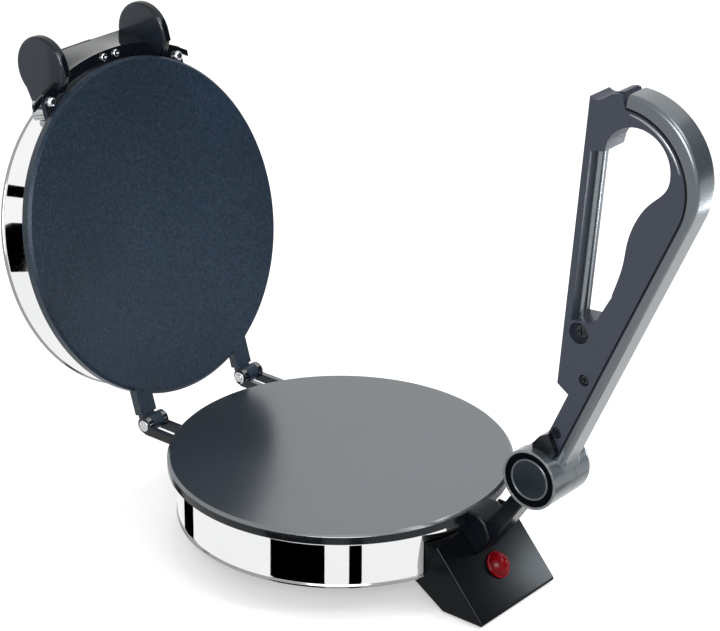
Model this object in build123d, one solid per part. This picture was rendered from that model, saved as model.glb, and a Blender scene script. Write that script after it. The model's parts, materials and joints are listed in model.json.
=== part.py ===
from build123d import *
import os
from math import asin, atan2, cos, degrees, pi, radians, sin, sqrt

# Electric roti maker: a round base with a cooking plate, a lid with a second plate that
# hinges at the back, and a press lever that pivots in front and folds back over the lid.
#
# All sizes are in millimetres.  The origin is the centre of the lower cooking face.
# +Z is up, -Y is the front (the lever's side), and the lid's hinge axis runs along X.
# The model stands as it is loaded with dough: the lid is open and the lever is upright.
# Profiles named *_profile are (radius, z) pairs that are turned about Z, and outlines
# named *_outline are (y, z) pairs that are given a thickness along X.

# ---------------------------------------------------------------- driving dimensions

plate_radius = 110.0          # both cooking plates
plate_thickness = 4.5         # web of a plate, under its cooking face
rim_height = 6.9              # depth of the skirt round a plate's edge
rim_wall = 4.2                # radial width of that skirt
face_bevel = 1.8              # bevel between cooking face and skirt
plate_gap = 1.0               # between the two cooking faces when the lid is down
plate_overhang = 5.8          # of a plate's edge beyond its steel band

band_wall = 0.9
band_lip = 3.0                # flange of a band against the plate's web
base_band_height = 36.1       # from the lower plate's web down to the bead's underside
lid_band_height = 29.9        # from the upper plate's web up to the bead's top
bead_radius = 1.5             # rolled edge of a band
bead_overhang = 0.6           # how far a bead stands out of its band
ground_clearance = 19.4       # from the base band's bead to the worktop

pan_wall = 1.0                # pressed steel pan and cover
cover_step = 2.0              # how deep the pan's and the cover's middle is pressed
pan_step_inset = 6.2          # from the band's outside to that pressed step
step_slant = 0.6              # how much the step's inner side leans
seat_gap = 0.25               # between pressed parts that drop into each other
cut_gap = 0.4                 # between a moulding's cut-out and what passes through it

shield_inset = 22.2           # from the band's outside to the heat shield's edge
shield_wall = 0.8
shield_depth = 6.0
shield_lip = 2.0              # turned edge of the shield
shield_hub_radius = 14.0
shield_slope = 6.0            # width of the shield's sloping part
element_inset = 14.0          # from the shield's edge to the heating ring's middle line
element_tube_radius = 3.4
element_seat_height = 1.6     # raised ring that the element presses against
element_seat_half = 5.5
element_gap_half = 10.5       # half the gap between the ring's two ends
element_end_length = 2.0      # straight end of the tube, in front of its bend
element_bend = 4.6            # bend of the tube's middle line
terminal_radius = 1.4
terminal_length = 6.0         # of a terminal pin in front of the tube
terminal_root = 1.5           # of the pin inside the tube
clamp_wall = 1.2
clamp_post_radius = 8.0
clamp_window_ring = 34.0
clamp_window_radius = 9.0
centre_bolt_radius = 3.0
centre_bolt_bite = 3.0        # how deep it goes into the plate's web
centre_bolt_head_radius = 5.5
centre_bolt_head_height = 4.0
pillar_inset = 13.2           # from the band's outside to the cover pillars
pillar_radius = 3.6
control_inset = 12.2          # from the band's outside to thermostat and fuse
thermostat_radius = 8.0
thermostat_cap_radius = 6.0
thermostat_height = 9.0
thermostat_cap_height = 4.0
fuse_radius = 2.0
fuse_length = 16.0
fuse_clip_width = 5.0
fuse_clip_depth = 6.0
fuse_clip_height = 4.8

cover_screw_radius = 1.5
cover_screw_head_radius = 3.4
cover_screw_head_height = 1.9
cover_screw_length = 8.0
pillar_bore_length = 11.0     # threaded bore in a pillar's end
vent_length = 22.0
vent_width = 4.0
vent_middle = 24.0

foot_radius = 8.0
foot_chamfer = 0.8            # how much a foot narrows at its sole
foot_edge = 1.2               # rounding of the sole
foot_hollow_radius = 4.0
foot_hollow_depth = 9.0
foot_screw_radius = 2.0
foot_screw_head_radius = 3.6
foot_screw_head_height = 2.2
foot_screw_grip = 4.0         # how far a foot's screw goes into the pan
front_foot_inset = 52.0       # from the band's outside to a front foot
front_foot_angle = -43.5
rear_foot_inset = 22.0
rear_foot_angle = 47.0

hinge_reach = 9.3             # from the plates' edge back to the hinge axis
hinge_z = -0.3
hinge_spread = 46.4           # each hinge's distance from the middle plane
knuckle_radius = 5.5
lug_width = 9.0               # the lid's lug between the cheeks, along X
lug_root_width = 13.5         # thick root of the lug, at the plate's edge
lug_root_gap = 0.8            # from that root to the cheeks' knuckles
cheek_width = 3.7             # each cheek of the base's fork, along X
cheek_gap = 0.4               # between lug and cheek
cheek_drop = 0.6              # of a cheek's top below the cooking face
cheek_rise = 0.4              # of a cheek's underside above the skirt's edge
pin_radius = 2.5
pin_head_radius = 3.8
pin_head_height = 0.8
pin_stub = 1.6                # end of a pin beyond its fork, for the clip
clip_radius = 4.2
clip_thickness = 0.9
clip_mouth = 3.2
running_gap = 0.05            # radial clearance of a turning pin or bolt
open_angle = 106.5            # the lid's opening at its back stop

housing_width = 75.0
housing_wall = 2.0
housing_drop = 11.5           # from the plate's web down to the housing's top
housing_shelf = 2.8           # flat top in front of the band
housing_front_reach = 40.1    # from the band to the sloping face's foot
housing_foot_reach = 7.8      # from the band to the back of the housing's underside
housing_back_inset = 16.2     # tongue of the housing under the pan
housing_tongue_depth = 3.0
housing_clearance = 1.2       # from the housing's underside to the worktop
housing_edge = 1.6            # rounding of the housing's edges
housing_cover_inset = 6.0
housing_cover_step = 2.0
housing_cover_wall = 1.0
housing_cover_gap = 0.2
block_x_low = -27.0           # ceramic terminal block on the housing's cover
block_x_high = 3.0
block_height = 9.0
block_front_gap = 7.5
block_back_gap = 4.0
block_pitch = 10.0
block_margin = 3.5
block_well_radius = 2.6
block_well_depth = 5.0

lamp_radius = 8.75            # flange of the red lens
lamp_flange = 1.2
lamp_dome_radius = 7.9
lamp_dome_rise = 6.0
lamp_neck_radius = 6.4
lamp_neck_length = 9.0
lamp_bore_radius = 3.2
lamp_ring_wall = 1.6          # spring ring behind the housing's wall
bulb_radius = 2.6
bulb_length = 11.5
bulb_tail = 4.0               # wider end of the neon lamp behind the lens
inlet_reach = 12.8            # from the band forward to the cord inlet
inlet_rise = 12.8             # from the housing's underside up to it
inlet_bore_radius = 3.3       # for a round mains lead
inlet_neck_radius = 5.2
inlet_flange_radius = 7.0
inlet_flange_height = 2.0
inlet_ring_step = 0.6

pivot_reach = 50.0            # from the plates' edge forward to the lever's pivot
pivot_rise = 5.6              # of the pivot above the closed lid's top
fold_angle = 97.0             # the lever's turn from upright to pressed
hub_radius = 19.0
hub_length = 38.0
hub_wall = 3.5
hub_end_rounding = 3.5        # of the barrel's right end
hub_seam_x = 2.0
hub_seam_width = 0.5
hub_seam_depth = 0.4
eye_radius = 15.0             # round end of the front bracket, inside the hub
neck_width = 18.0             # the bracket's arm, along X
neck_thickness = 10.0         # the arm seen from the side
neck_edge = 1.5               # rounding of the arm's edges
neck_end_reach = 7.7          # from the plates' edge to the arm's lower end
neck_end_z = -22.0
side_play = 0.4               # between the bracket's eye and the hub's inner walls
window_margin = 8.0           # degrees that the hub's window is wider than the arm's sweep
pad_width = 23.0              # the bracket's foot, along X
pad_drop = 0.6                # of the foot's top below the cooking face
bracket_bolt_x = 6.0
bracket_bolt_rise = 7.6       # from the bead's middle line up to the bracket's bolts
bracket_bolt_radius = 2.0
bracket_bolt_head_radius = 3.4
bracket_bolt_head_height = 3.6
bracket_bolt_length = 12.5
bracket_bolt_socket = 1.7
bracket_seat = 4.8            # metal between the bolts' heads and the band
bracket_nut_radius = 4.0
bracket_nut_height = 3.2
bracket_nut_place = 11.0      # from under the heads to the nuts
cap_wall = 1.6                # rim of the barrel round its left cap
cap_radius_right = 13.5
cap_depth = 2.0
cap_groove = 1.3              # depth of the black ring between rim and disc
cap_disc_radius = 12.3
cap_dome = 0.7
head_well_radius = 7.6
head_well_floor = 12.0
bolt_radius = 4.0
bolt_head_radius = 6.8
bolt_head_height = 4.6
bolt_tail = 5.0               # of the pivot bolt beyond its seat
collar_width = 27.0

lever_width = 19.0
lever_lean = 24.0             # of the arm from upright, outwards
arm_inner = -6.5              # arm's lid side, measured outwards from the pivot axis
arm_outer = 11.0              # arm's outer side, the same way
strip_depth = 4.7             # cover strip on the straight part of the arm
strip_blend = 10.0            # hollow rounding where the strip runs into the barrel
bow_radius = 47.0             # outside of the D's round back
bow_station = 205.5           # its centre's distance along the arm
strip_bow_radius = 43.5       # where the cover strip meets the grip, round the bow
strip_bow_station = 200.7
leg_lean = 4.53               # of the D's straight leg from upright, outwards
leg_offset = 5.94             # leg's lid side, outwards from the pivot axis
leg_start = 64.4
leg_length = 180.0
leg_thickness = 4.4
rod_radius = 3.0
rod_offset = 11.3
rod_from = 100.0
rod_to = 222.0
root_start = 12.0
notch_station = 61.2
tang_length = 90.0
tang_half = 3.0
shadow_gap = 1.6              # groove between grip and cover strip
shadow_depth = 2.5            # of that groove, from each side
hole_centre = (-57.7, 209.9)
hole_radius = 22.0
hole_low = 107.5              # stations along the leg of the hand hole's two ends
hole_high = 213.0
hole_corner = 5.0
hole_back = (                 # waisted back of the hand hole, from its top down
    (-76.5, 199.0),
    (-68.0, 190.5),
    (-59.5, 178.5),
    (-54.0, 163.0),
    (-51.4, 147.0),
    (-45.5, 128.5),
    (-36.0, 110.5),
)
lever_screw_radius = 1.5
lever_screw_head_radius = 3.2
lever_screw_head_height = 1.8
lever_screw_bite = 3.0        # wall left beyond a screw's tip
large_screw_head_radius = 4.6
large_pit_radius = 6.6
large_pit_depth = 5.0
small_pit_radius = 3.6
small_pit_depth = 3.0

ear_spread = 46.0
ear_thickness = 7.0
ear_radius = 21.0
ear_edge = 2.2                # rounding of an ear's edges
ear_reach = 8.5               # from the plates' edge to an ear's centre
ear_rise = 19.5               # of its centre above the upper cooking face
flange_reach = 8.0            # of the arc flange beyond the plates' edge, at its middle
flange_arc_radius = 143.6
flange_half_width = 62.8
flange_rise = 11.0            # of the flange's top above the upper cooking face
flange_thickness = 3.8
lip_half_width = 70.5         # thin lip that runs on beyond the flange's ends
lip_width = 3.5
lip_thickness = 2.0
bridge_reach = 13.0           # of the bridge's bar beyond the plates' edge
bridge_depth = 10.0
bridge_over_pivot = 0.6       # of the bar's top above the lever's pivot
bridge_edge = 1.5
press_radius = 4.5            # rubber strip in the bridge's top
press_half = 16.0
press_reach = 8.5
press_below_pivot = 0.5
bracket_screw_gap = 1.4       # from the plates' edge to the flange screws' heads
bracket_screw_x = 5.5
bracket_screw_radius = 1.5
bracket_screw_head_radius = 2.6
bracket_screw_head_height = 1.6
bracket_screw_length = 7.0
stud_x = 58.0                 # bright studs at the ends of the flange
stud_radius = 2.0
stud_head_radius = 3.6
stud_head_height = 3.0
stud_gap = 0.6                # from the plates' edge to a stud's head
stud_rise = 12.0              # of stud and sleeve above the flange
sleeve_gap = 0.1

# ---------------------------------------------------------------- worked out from them

band_radius = plate_radius - plate_overhang
shield_radius = band_radius - shield_inset
element_ring_radius = shield_radius - element_inset
pillar_ring_radius = band_radius - pillar_inset
control_ring_radius = band_radius - control_inset
pan_step_radius = band_radius - pan_step_inset

ground_z = -plate_thickness - base_band_height - ground_clearance
base_bead_z = -plate_thickness - base_band_height + bead_radius
lid_face_z = plate_gap
lid_web_z = lid_face_z + plate_thickness
lid_top_z = lid_web_z + lid_band_height
base_of_lid_bead = lid_top_z - 2 * bead_radius
pan_bottom_z = base_bead_z + bead_radius - cover_step

hinge_y = plate_radius + hinge_reach
fork_half = lug_width / 2 + cheek_gap + cheek_width

housing_top = -plate_thickness - housing_drop
housing_bottom = ground_z + housing_clearance
housing_top_front = -(band_radius + housing_shelf)
housing_foot_front = -(band_radius + housing_front_reach)
housing_foot_back = -(band_radius + housing_foot_reach)
housing_back = -(band_radius - housing_back_inset)
inlet_y = -(band_radius + inlet_reach)
inlet_z = housing_bottom + inlet_rise

pivot_y = -(plate_radius + pivot_reach)
pivot_z = lid_top_z + pivot_rise
hub_half = hub_length / 2
cap_radius = hub_radius - cap_wall
neck_run = pivot_reach - neck_end_reach
neck_fall = pivot_z - neck_end_z
neck_angle = -degrees(atan2(neck_fall, neck_run))
neck_length = sqrt(neck_run ** 2 + neck_fall ** 2)
bracket_bolt_z = base_bead_z + bracket_bolt_rise
bracket_seat_y = -(band_radius + bracket_seat)

ear_y = -(plate_radius + ear_reach)
ear_z = lid_face_z + ear_rise
flange_top = lid_face_z + flange_rise
flange_bottom = flange_top - flange_thickness
flange_centre_y = flange_arc_radius - plate_radius - flange_reach
bridge_top = pivot_z + bridge_over_pivot
bridge_front = -(plate_radius + bridge_reach)
press_y = -(plate_radius + press_reach)
press_z = pivot_z - press_below_pivot
bracket_screw_ring = plate_radius + bracket_screw_head_radius + bracket_screw_gap
stud_ring = plate_radius + stud_head_radius + stud_gap
sleeve_radius = (stud_ring - stud_radius - band_radius - 2 * sleeve_gap) / 2
sleeve_ring = band_radius + sleeve_radius + sleeve_gap


# ---------------------------------------------------------------- small helpers

def outline(*points):
    """A closed flat face from straight runs between points."""
    return make_face(Polyline(*points, close=True))


def slab(face, x_middle, thickness):
    """The (y, z) face, given its thickness along X about x_middle."""
    return Pos(x_middle, 0, 0) * extrude(Plane.YZ * face, amount=thickness / 2, both=True)


def turned(*profile):
    """The (radius, z) profile turned round Z."""
    return revolve(Plane.XZ * outline(*profile), axis=Axis.Z)


def cylinder_z(radius, z_low, z_high, x=0.0, y=0.0):
    """Upright cylinder between two heights."""
    return Pos(x, y, (z_low + z_high) / 2) * Cylinder(radius, z_high - z_low)


def cylinder_x(radius, x_low, x_high, y, z):
    """Cylinder along X between two places."""
    return Pos((x_low + x_high) / 2, y, z) * Rot(0, 90, 0) * Cylinder(radius, x_high - x_low)


def block(x_range, y_range, z_range):
    """Box between three pairs of limits."""
    size = [high - low for low, high in (x_range, y_range, z_range)]
    middle = [(high + low) / 2 for low, high in (x_range, y_range, z_range)]
    return Pos(*middle) * Box(*size)


def mirrored(shape):
    """The same shape on the other side of the middle plane x = 0."""
    return mirror(shape, about=Plane.YZ)


def both_sides(shape):
    """The shape and its mirror image, as one group."""
    return Compound(children=[*shape.solids(), *mirrored(shape).solids()])


def ring_places(count, radius, first_angle=0.0):
    """Evenly spaced (x, y) places on a circle round Z."""
    angles = [radians(first_angle + 360.0 * i / count) for i in range(count)]
    return [(radius * cos(a), radius * sin(a)) for a in angles]


def save(name, shape):
    """Write one sub-part, as a single solid or as a group of separate solids."""
    solids = shape.solids()
    whole = solids[0] if len(solids) == 1 else Compound(children=list(solids))
    whole.label = name
    export_step(whole, "parts/" + name + ".step")


def opened(shape):
    """Turn a lid piece, drawn with the lid down, to the lid's open stop."""
    hinge = Pos(0, hinge_y, hinge_z)
    return hinge * Rot(-open_angle, 0, 0) * hinge.inverse() * shape


def pan_head_screw(head_radius, head_height, shank_radius, shank_length):
    """Cross-head screw that points down -Z, its head's underside at z = 0."""
    head = extrude(Circle(head_radius), amount=head_height)
    head = fillet(head.edges().group_by(Axis.Z)[-1], head_height * 0.45)
    slot = Box(head_radius * 1.1, head_radius * 0.28, head_height)
    cross = Pos(0, 0, head_height) * (slot + Rot(0, 0, 90) * slot)
    shank = Pos(0, 0, -shank_length / 2) * Cylinder(shank_radius, shank_length)
    return head - cross + shank


# ---------------------------------------------------------------- plates, bands and heaters

def cooking_plate(face_z, up):
    """Plate whose cooking face is at face_z and whose skirt runs the other way.

    up is -1 for the lower plate, whose body lies below its face, and 1 for the upper one.
    A raised ring on the back carries the heating element.
    """
    def z(depth):
        return face_z + up * depth
    inner = plate_radius - rim_wall
    seat = element_seat_height + plate_thickness
    return turned(
        (0, z(0)),
        (plate_radius - face_bevel, z(0)),
        (plate_radius, z(face_bevel)),
        (plate_radius, z(rim_height)),
        (inner, z(rim_height)),
        (inner, z(plate_thickness)),
        (element_ring_radius + element_seat_half, z(plate_thickness)),
        (element_ring_radius + element_seat_half, z(seat)),
        (element_ring_radius - element_seat_half, z(seat)),
        (element_ring_radius - element_seat_half, z(plate_thickness)),
        (0, z(plate_thickness)),
    ) - cylinder_z(centre_bolt_radius, *sorted((z(1.5), z(plate_thickness))))


def knuckle_arm(x_middle, width, z_low, z_high):
    """Arm from a plate's skirt out to the hinge axis, ending in a round knuckle."""
    start = sqrt(plate_radius ** 2 - (abs(x_middle) + width / 2) ** 2) - rim_wall / 2
    x_range = (x_middle - width / 2, x_middle + width / 2)
    arm = block(x_range, (start, hinge_y), (z_low, z_high))
    arm -= cylinder_z(plate_radius - rim_wall, z_low - 1, z_high + 1)
    return arm + cylinder_x(knuckle_radius, *x_range, hinge_y, hinge_z)


def steel_band(web_z, height, up):
    """Drawn steel ring from a plate's web to its rolled bead, up = 1 or -1."""
    inner = band_radius - band_wall
    bead_z = web_z + up * (height - bead_radius)
    ring = turned(
        (inner - band_lip, web_z),
        (band_radius, web_z),
        (band_radius, bead_z),
        (inner, bead_z),
        (inner, web_z + up * band_wall),
        (inner - band_lip, web_z + up * band_wall),
    )
    roll = Pos(0, 0, bead_z) * Torus(band_radius - bead_radius + bead_overhang, bead_radius)
    return ring + roll


def heating_ring(web_z, up):
    """Tubular element, bent forward at its two ends, with its terminal pins."""
    middle = web_z + up * (element_seat_height + element_tube_radius)
    reach = element_ring_radius
    bend_x = element_gap_half + element_bend
    bend_y = -sqrt((reach + element_bend) ** 2 - bend_x ** 2)
    turn = atan2(-bend_y, bend_x)
    front = bend_y - element_end_length
    half = pi - turn / 2
    corner = (bend_x + element_bend * cos(half), bend_y + element_bend * sin(half))
    join = (reach * cos(turn), -reach * sin(turn))
    path = (
        Line((element_gap_half, front), (element_gap_half, bend_y))
        + ThreePointArc((element_gap_half, bend_y), corner, join)
        + ThreePointArc(join, (0, reach), (-join[0], join[1]))
        + ThreePointArc((-join[0], join[1]), (-corner[0], corner[1]), (-element_gap_half, bend_y))
        + Line((-element_gap_half, bend_y), (-element_gap_half, front))
    )
    start = Plane(origin=(element_gap_half, front, 0), z_dir=(0, 1, 0))
    ring = Pos(0, 0, middle) * sweep(start * Circle(element_tube_radius), path=path)
    for side in (-1, 1):
        end = Pos(side * element_gap_half, front + terminal_root, middle) * Rot(90, 0, 0)
        ring += end * Cylinder(terminal_radius, terminal_root + terminal_length,
                               align=(Align.CENTER, Align.CENTER, Align.MIN))
    return ring


def clamp_disc(web_z, up):
    """Pressed disc that holds the heating ring to the plate, with round windows."""
    crown = web_z + up * (element_seat_height + 2 * element_tube_radius)
    far = crown + up * clamp_wall
    outer = element_ring_radius + element_tube_radius
    disc = turned(
        (centre_bolt_radius, web_z),
        (clamp_post_radius, web_z),
        (clamp_post_radius, crown),
        (outer, crown),
        (outer, far),
        (centre_bolt_radius, far),
    )
    for x, y in ring_places(6, clamp_window_ring, 30.0):
        disc -= cylinder_z(clamp_window_radius, min(crown, far) - 1, max(crown, far) + 1, x, y)
    return disc


def heat_shield(web_z, up):
    """Shallow dish behind the clamp, which keeps heat off the outer cover."""
    near = web_z + up * (element_seat_height + 2 * element_tube_radius + clamp_wall)
    deep = near + up * shield_depth
    rim = near - up * shield_lip
    foot = shield_hub_radius + shield_slope
    return turned(
        (centre_bolt_radius, near),
        (shield_hub_radius, near),
        (foot, deep),
        (shield_radius - shield_wall, deep),
        (shield_radius - shield_wall, rim),
        (shield_radius, rim),
        (shield_radius, deep + up * shield_wall),
        (foot - shield_wall, deep + up * shield_wall),
        (shield_hub_radius - shield_wall, near + up * shield_wall),
        (centre_bolt_radius, near + up * shield_wall),
    )


def centre_bolt(web_z, up):
    """Bolt through shield and clamp into the plate's web."""
    seat = web_z + up * (element_seat_height + 2 * element_tube_radius + clamp_wall + shield_wall)
    tip = web_z - up * centre_bolt_bite
    head = extrude(RegularPolygon(centre_bolt_head_radius, 6), amount=centre_bolt_head_height)
    shank = Pos(0, 0, -abs(seat - tip) / 2) * Cylinder(centre_bolt_radius, abs(seat - tip))
    turn = Rot(0, 0, 0) if up > 0 else Rot(180, 0, 0)
    return Pos(0, 0, seat) * turn * (head + shank)


def cover_pillars(web_z, end_z, first_angle):
    """Three pillars between a plate's web and its outer cover, threaded at the cover's end."""
    low, high = sorted((web_z, end_z))
    bore = (high - pillar_bore_length, high + 1) if end_z > web_z else (low - 1, low + pillar_bore_length)
    places = ring_places(3, pillar_ring_radius, first_angle)
    return Compound(children=[
        cylinder_z(pillar_radius, low, high, x, y) - cylinder_z(cover_screw_radius, *bore, x, y)
        for x, y in places
    ])


def cover_screws(seat_z, up, first_angle):
    """Three pan head screws into the pillars."""
    turn = Rot(0, 0, 0) if up > 0 else Rot(180, 0, 0)
    screw = pan_head_screw(cover_screw_head_radius, cover_screw_head_height, cover_screw_radius,
                           cover_screw_length)
    places = ring_places(3, pillar_ring_radius, first_angle)
    return Compound(children=[Pos(x, y, seat_z) * turn * screw for x, y in places])


def pressed_cover(bead_z, up):
    """Pressed steel disc: its edge flange lies against the bead from inside."""
    flange = bead_z - up * bead_radius
    step = pan_step_radius
    depth = up * cover_step
    edge = band_radius - band_wall - seat_gap
    return turned(
        (0, flange + depth),
        (step - cover_step, flange + depth),
        (step, flange),
        (edge, flange),
        (edge, flange - up * pan_wall),
        (step - step_slant, flange - up * pan_wall),
        (step - cover_step - step_slant, flange + depth - up * pan_wall),
        (0, flange + depth - up * pan_wall),
    )


# ---------------------------------------------------------------- base

def make_lower_plate():
    plate = cooking_plate(0.0, -1)
    offset_x = (lug_width + cheek_width) / 2 + cheek_gap
    bore_half = fork_half + 1.0
    for hinge_x in (-hinge_spread, hinge_spread):
        for x in (hinge_x - offset_x, hinge_x + offset_x):
            plate += knuckle_arm(x, cheek_width, -rim_height + cheek_rise, -cheek_drop)
        plate -= cylinder_x(pin_radius, hinge_x - bore_half, hinge_x + bore_half, hinge_y, hinge_z)
    save("lower_plate", plate)


def make_hinge_pins():
    """A headed pin through each fork, with a spring clip on its inner end."""
    end = hinge_spread - fork_half
    far = hinge_spread + fork_half
    pin = cylinder_x(pin_radius, end - pin_stub, far, hinge_y, hinge_z)
    head = cylinder_x(pin_head_radius, far, far + pin_head_height, hinge_y, hinge_z)
    clip = cylinder_x(clip_radius, end - seat_gap - clip_thickness, end - seat_gap, hinge_y, hinge_z)
    clip -= cylinder_x(pin_radius, end - pin_stub - 1, end, hinge_y, hinge_z)
    clip -= block((end - pin_stub - 1, end), (hinge_y - clip_mouth / 2, hinge_y + clip_mouth / 2),
                  (hinge_z - clip_radius - 1, hinge_z))
    save("hinge_pins", both_sides(pin + head))
    save("hinge_pin_clips", both_sides(clip))


def foot_places():
    """(x, y) of the four feet, front pair first."""
    places = []
    for inset, angle in ((front_foot_inset, front_foot_angle), (rear_foot_inset, rear_foot_angle)):
        x = (band_radius - inset) * cos(radians(angle))
        y = (band_radius - inset) * sin(radians(angle))
        places += [(x, y), (-x, y)]
    return places


def make_feet():
    """Rubber feet under the pan, each held by a screw in its hollow."""
    top = pan_bottom_z
    seat = ground_z + foot_hollow_depth
    sole = Circle(foot_radius - foot_chamfer)
    foot = Pos(0, 0, ground_z) * extrude(sole, amount=top - ground_z, taper=-2.2)
    foot = fillet(foot.edges().group_by(Axis.Z)[0], foot_edge)
    foot -= cylinder_z(foot_hollow_radius, ground_z - 1, seat)
    foot -= cylinder_z(foot_screw_radius, seat - 1, top + 1)
    screw = pan_head_screw(foot_screw_head_radius, foot_screw_head_height, foot_screw_radius,
                           top - seat + foot_screw_grip)
    screw = Pos(0, 0, seat) * Rot(180, 0, 0) * screw
    places = foot_places()
    save("feet", Compound(children=[Pos(x, y, 0) * foot for x, y in places]))
    save("foot_screws", Compound(children=[Pos(x, y, 0) * screw for x, y in places]))


def make_bottom_pan():
    """Vented pan, with holes for the feet's screws and the pillars' screws."""
    pan = pressed_cover(base_bead_z, -1)
    low = pan_bottom_z - 1
    high = pan_bottom_z + cover_step + pan_wall + 1
    for x, y in foot_places():
        pan -= cylinder_z(foot_screw_radius, low, high, x, y)
    for x, y in ring_places(3, pillar_ring_radius, 90.0):
        pan -= cylinder_z(cover_screw_radius, low, high, x, y)
    vent = extrude(SlotOverall(vent_length, vent_width), amount=high - low)
    for angle in range(0, 360, 30):
        pan -= Rot(0, 0, angle) * Pos(vent_middle, 0, low) * vent
    save("bottom_pan", pan)


def housing_shape(inset):
    """Wedge of the terminal housing, shrunk all round by inset; only the outer one is rounded."""
    tongue_z = base_bead_z - bead_radius
    wedge = outline(
        (housing_back, housing_top),
        (housing_top_front, housing_top),
        (housing_foot_front, housing_bottom),
        (housing_foot_back, housing_bottom),
        (housing_back, tongue_z - housing_tongue_depth),
    )
    wedge = offset(wedge, amount=-inset) if inset else wedge
    body = slab(wedge, 0, housing_width - 2 * inset)
    if not inset:
        body = fillet(body.edges().filter_by(Axis.X).group_by(Axis.Y)[0:3], housing_edge)
        sides = body.faces().filter_by(Axis.X)
        body = fillet(sides.edges(), housing_edge * 0.75)
    belly = band_radius + bead_overhang + seat_gap + inset
    return body - cylinder_z(belly, tongue_z - inset, housing_top + 1)


def lamp_plane(depth=0.0):
    """Plane of the housing's sloping face, at the lamp, moved inwards by depth."""
    run = housing_foot_front - housing_top_front
    drop = housing_bottom - housing_top
    length = sqrt(run ** 2 + drop ** 2)
    normal = (0, drop / length, -run / length)
    centre_y = housing_top_front + run / 2 - depth * normal[1]
    centre_z = housing_top + drop / 2 - depth * normal[2]
    return Plane(origin=(0, centre_y, centre_z), x_dir=(1, 0, 0), z_dir=normal)


def bracket_pad_outline(grow=0.0):
    """Side outline of the front bracket's foot; grow widens it for the housing's cut-out."""
    inside = -(band_radius - 6.2)
    sole = base_bead_z + bead_radius + 1.6
    shape = outline(
        (inside, -pad_drop),
        (-(plate_radius + 6.5), -pad_drop),
        (-(plate_radius + 13.0), -5.0),
        (-(plate_radius + 17.0), -14.0),
        (-(plate_radius + 10.5), bracket_bolt_z + 6.0),
        (bracket_seat_y, bracket_bolt_z - 1.5),
        (bracket_seat_y, sole),
        (inside, sole),
    )
    return offset(shape, amount=grow, kind=Kind.INTERSECTION) if grow else shape


def make_housing():
    wall = housing_width / 2
    lamp_hole = extrude(lamp_plane(lamp_neck_length) * Circle(lamp_neck_radius), amount=lamp_neck_length + 1)
    inlet_hole = cylinder_x(inlet_neck_radius, wall - 2 * housing_wall, wall + 1, inlet_y, inlet_z)
    shell = housing_shape(0.0) - housing_shape(housing_wall) - lamp_hole - inlet_hole
    shell -= slab(bracket_pad_outline(cut_gap), 0, pad_width + 2 * cut_gap)
    y_low = housing_foot_front + housing_cover_inset
    y_high = housing_foot_back - housing_wall
    step = housing_cover_step
    half = wall - housing_cover_inset
    floor_z = housing_bottom + housing_cover_wall
    shell -= block((-half, half), (y_low, y_high), (housing_bottom - 1, floor_z))
    shell -= block((-half + step, half - step), (y_low + step, y_high - step),
                   (housing_bottom - 1, housing_bottom + 2 * housing_wall))
    save("terminal_housing", shell)
    gap = housing_cover_gap
    cover = block((-half + gap, half - gap), (y_low + gap, y_high - gap), (housing_bottom, floor_z))
    save("housing_cover", cover)
    front, back = y_low + block_front_gap, y_high - block_back_gap
    ceramic = block((block_x_low, block_x_high), (front, back), (floor_z, floor_z + block_height))
    for i in range(3):
        x = (block_x_low + block_x_high) / 2 + block_pitch * (i - 1)
        for y in (front + block_margin, back - block_margin):
            top = floor_z + block_height
            ceramic -= cylinder_z(block_well_radius, top - block_well_depth, top + 1, x, y)
    save("terminal_block", ceramic)


def make_lamp():
    """Red domed lens, the neon lamp in its bore and the spring ring behind the housing's wall."""
    face = lamp_plane()
    flange = extrude(face * Circle(lamp_radius), amount=lamp_flange)
    sphere_radius = (lamp_dome_radius ** 2 + lamp_dome_rise ** 2) / (2 * lamp_dome_rise)
    dome = face.location * Pos(0, 0, lamp_flange + lamp_dome_rise - sphere_radius) * Sphere(sphere_radius)
    dome &= extrude(face.offset(lamp_flange / 2) * Circle(lamp_dome_radius), amount=2 * lamp_dome_rise)
    neck = extrude(lamp_plane(lamp_neck_length) * Circle(lamp_neck_radius), amount=lamp_neck_length)
    bore = extrude(lamp_plane(lamp_neck_length + 1) * Circle(lamp_bore_radius), amount=lamp_neck_length + 1)
    save("lamp_lens", flange + dome + neck - bore)
    ring = extrude(lamp_plane(housing_wall + lamp_ring_wall) * Circle(lamp_radius), amount=lamp_ring_wall)
    ring -= extrude(lamp_plane(housing_wall + 2 * lamp_ring_wall) * Circle(lamp_neck_radius),
                    amount=3 * lamp_ring_wall)
    save("lamp_retainer", ring)
    tail = lamp_neck_length + bulb_tail
    bulb = extrude(lamp_plane(tail) * Circle(bulb_radius), amount=bulb_length)
    bulb += extrude(lamp_plane(tail + 1.0) * Circle(lamp_bore_radius), amount=bulb_tail)
    save("neon_lamp", bulb)


def make_cord_inlet():
    """Bushing in the housing's side wall; the mains lead would enter through its bore."""
    wall = housing_width / 2
    inner = wall - housing_wall
    tail = inner - inlet_flange_height
    tip = wall + inlet_flange_height
    bush = cylinder_x(inlet_neck_radius, tail, tip, inlet_y, inlet_z)
    bush += cylinder_x(inlet_flange_radius, wall, tip, inlet_y, inlet_z)
    bush += cylinder_x(inlet_flange_radius - inlet_ring_step, tail, inner, inlet_y, inlet_z)
    bush -= cylinder_x(inlet_bore_radius, tail - 1, tip + 1, inlet_y, inlet_z)
    save("cord_inlet", bush)


def bolt_axis(x, y=0.0):
    """Placement on one of the bracket's bolts, its z axis pointing to the front."""
    return Pos(x, y, bracket_bolt_z) * Rot(90, 0, 0)


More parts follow.
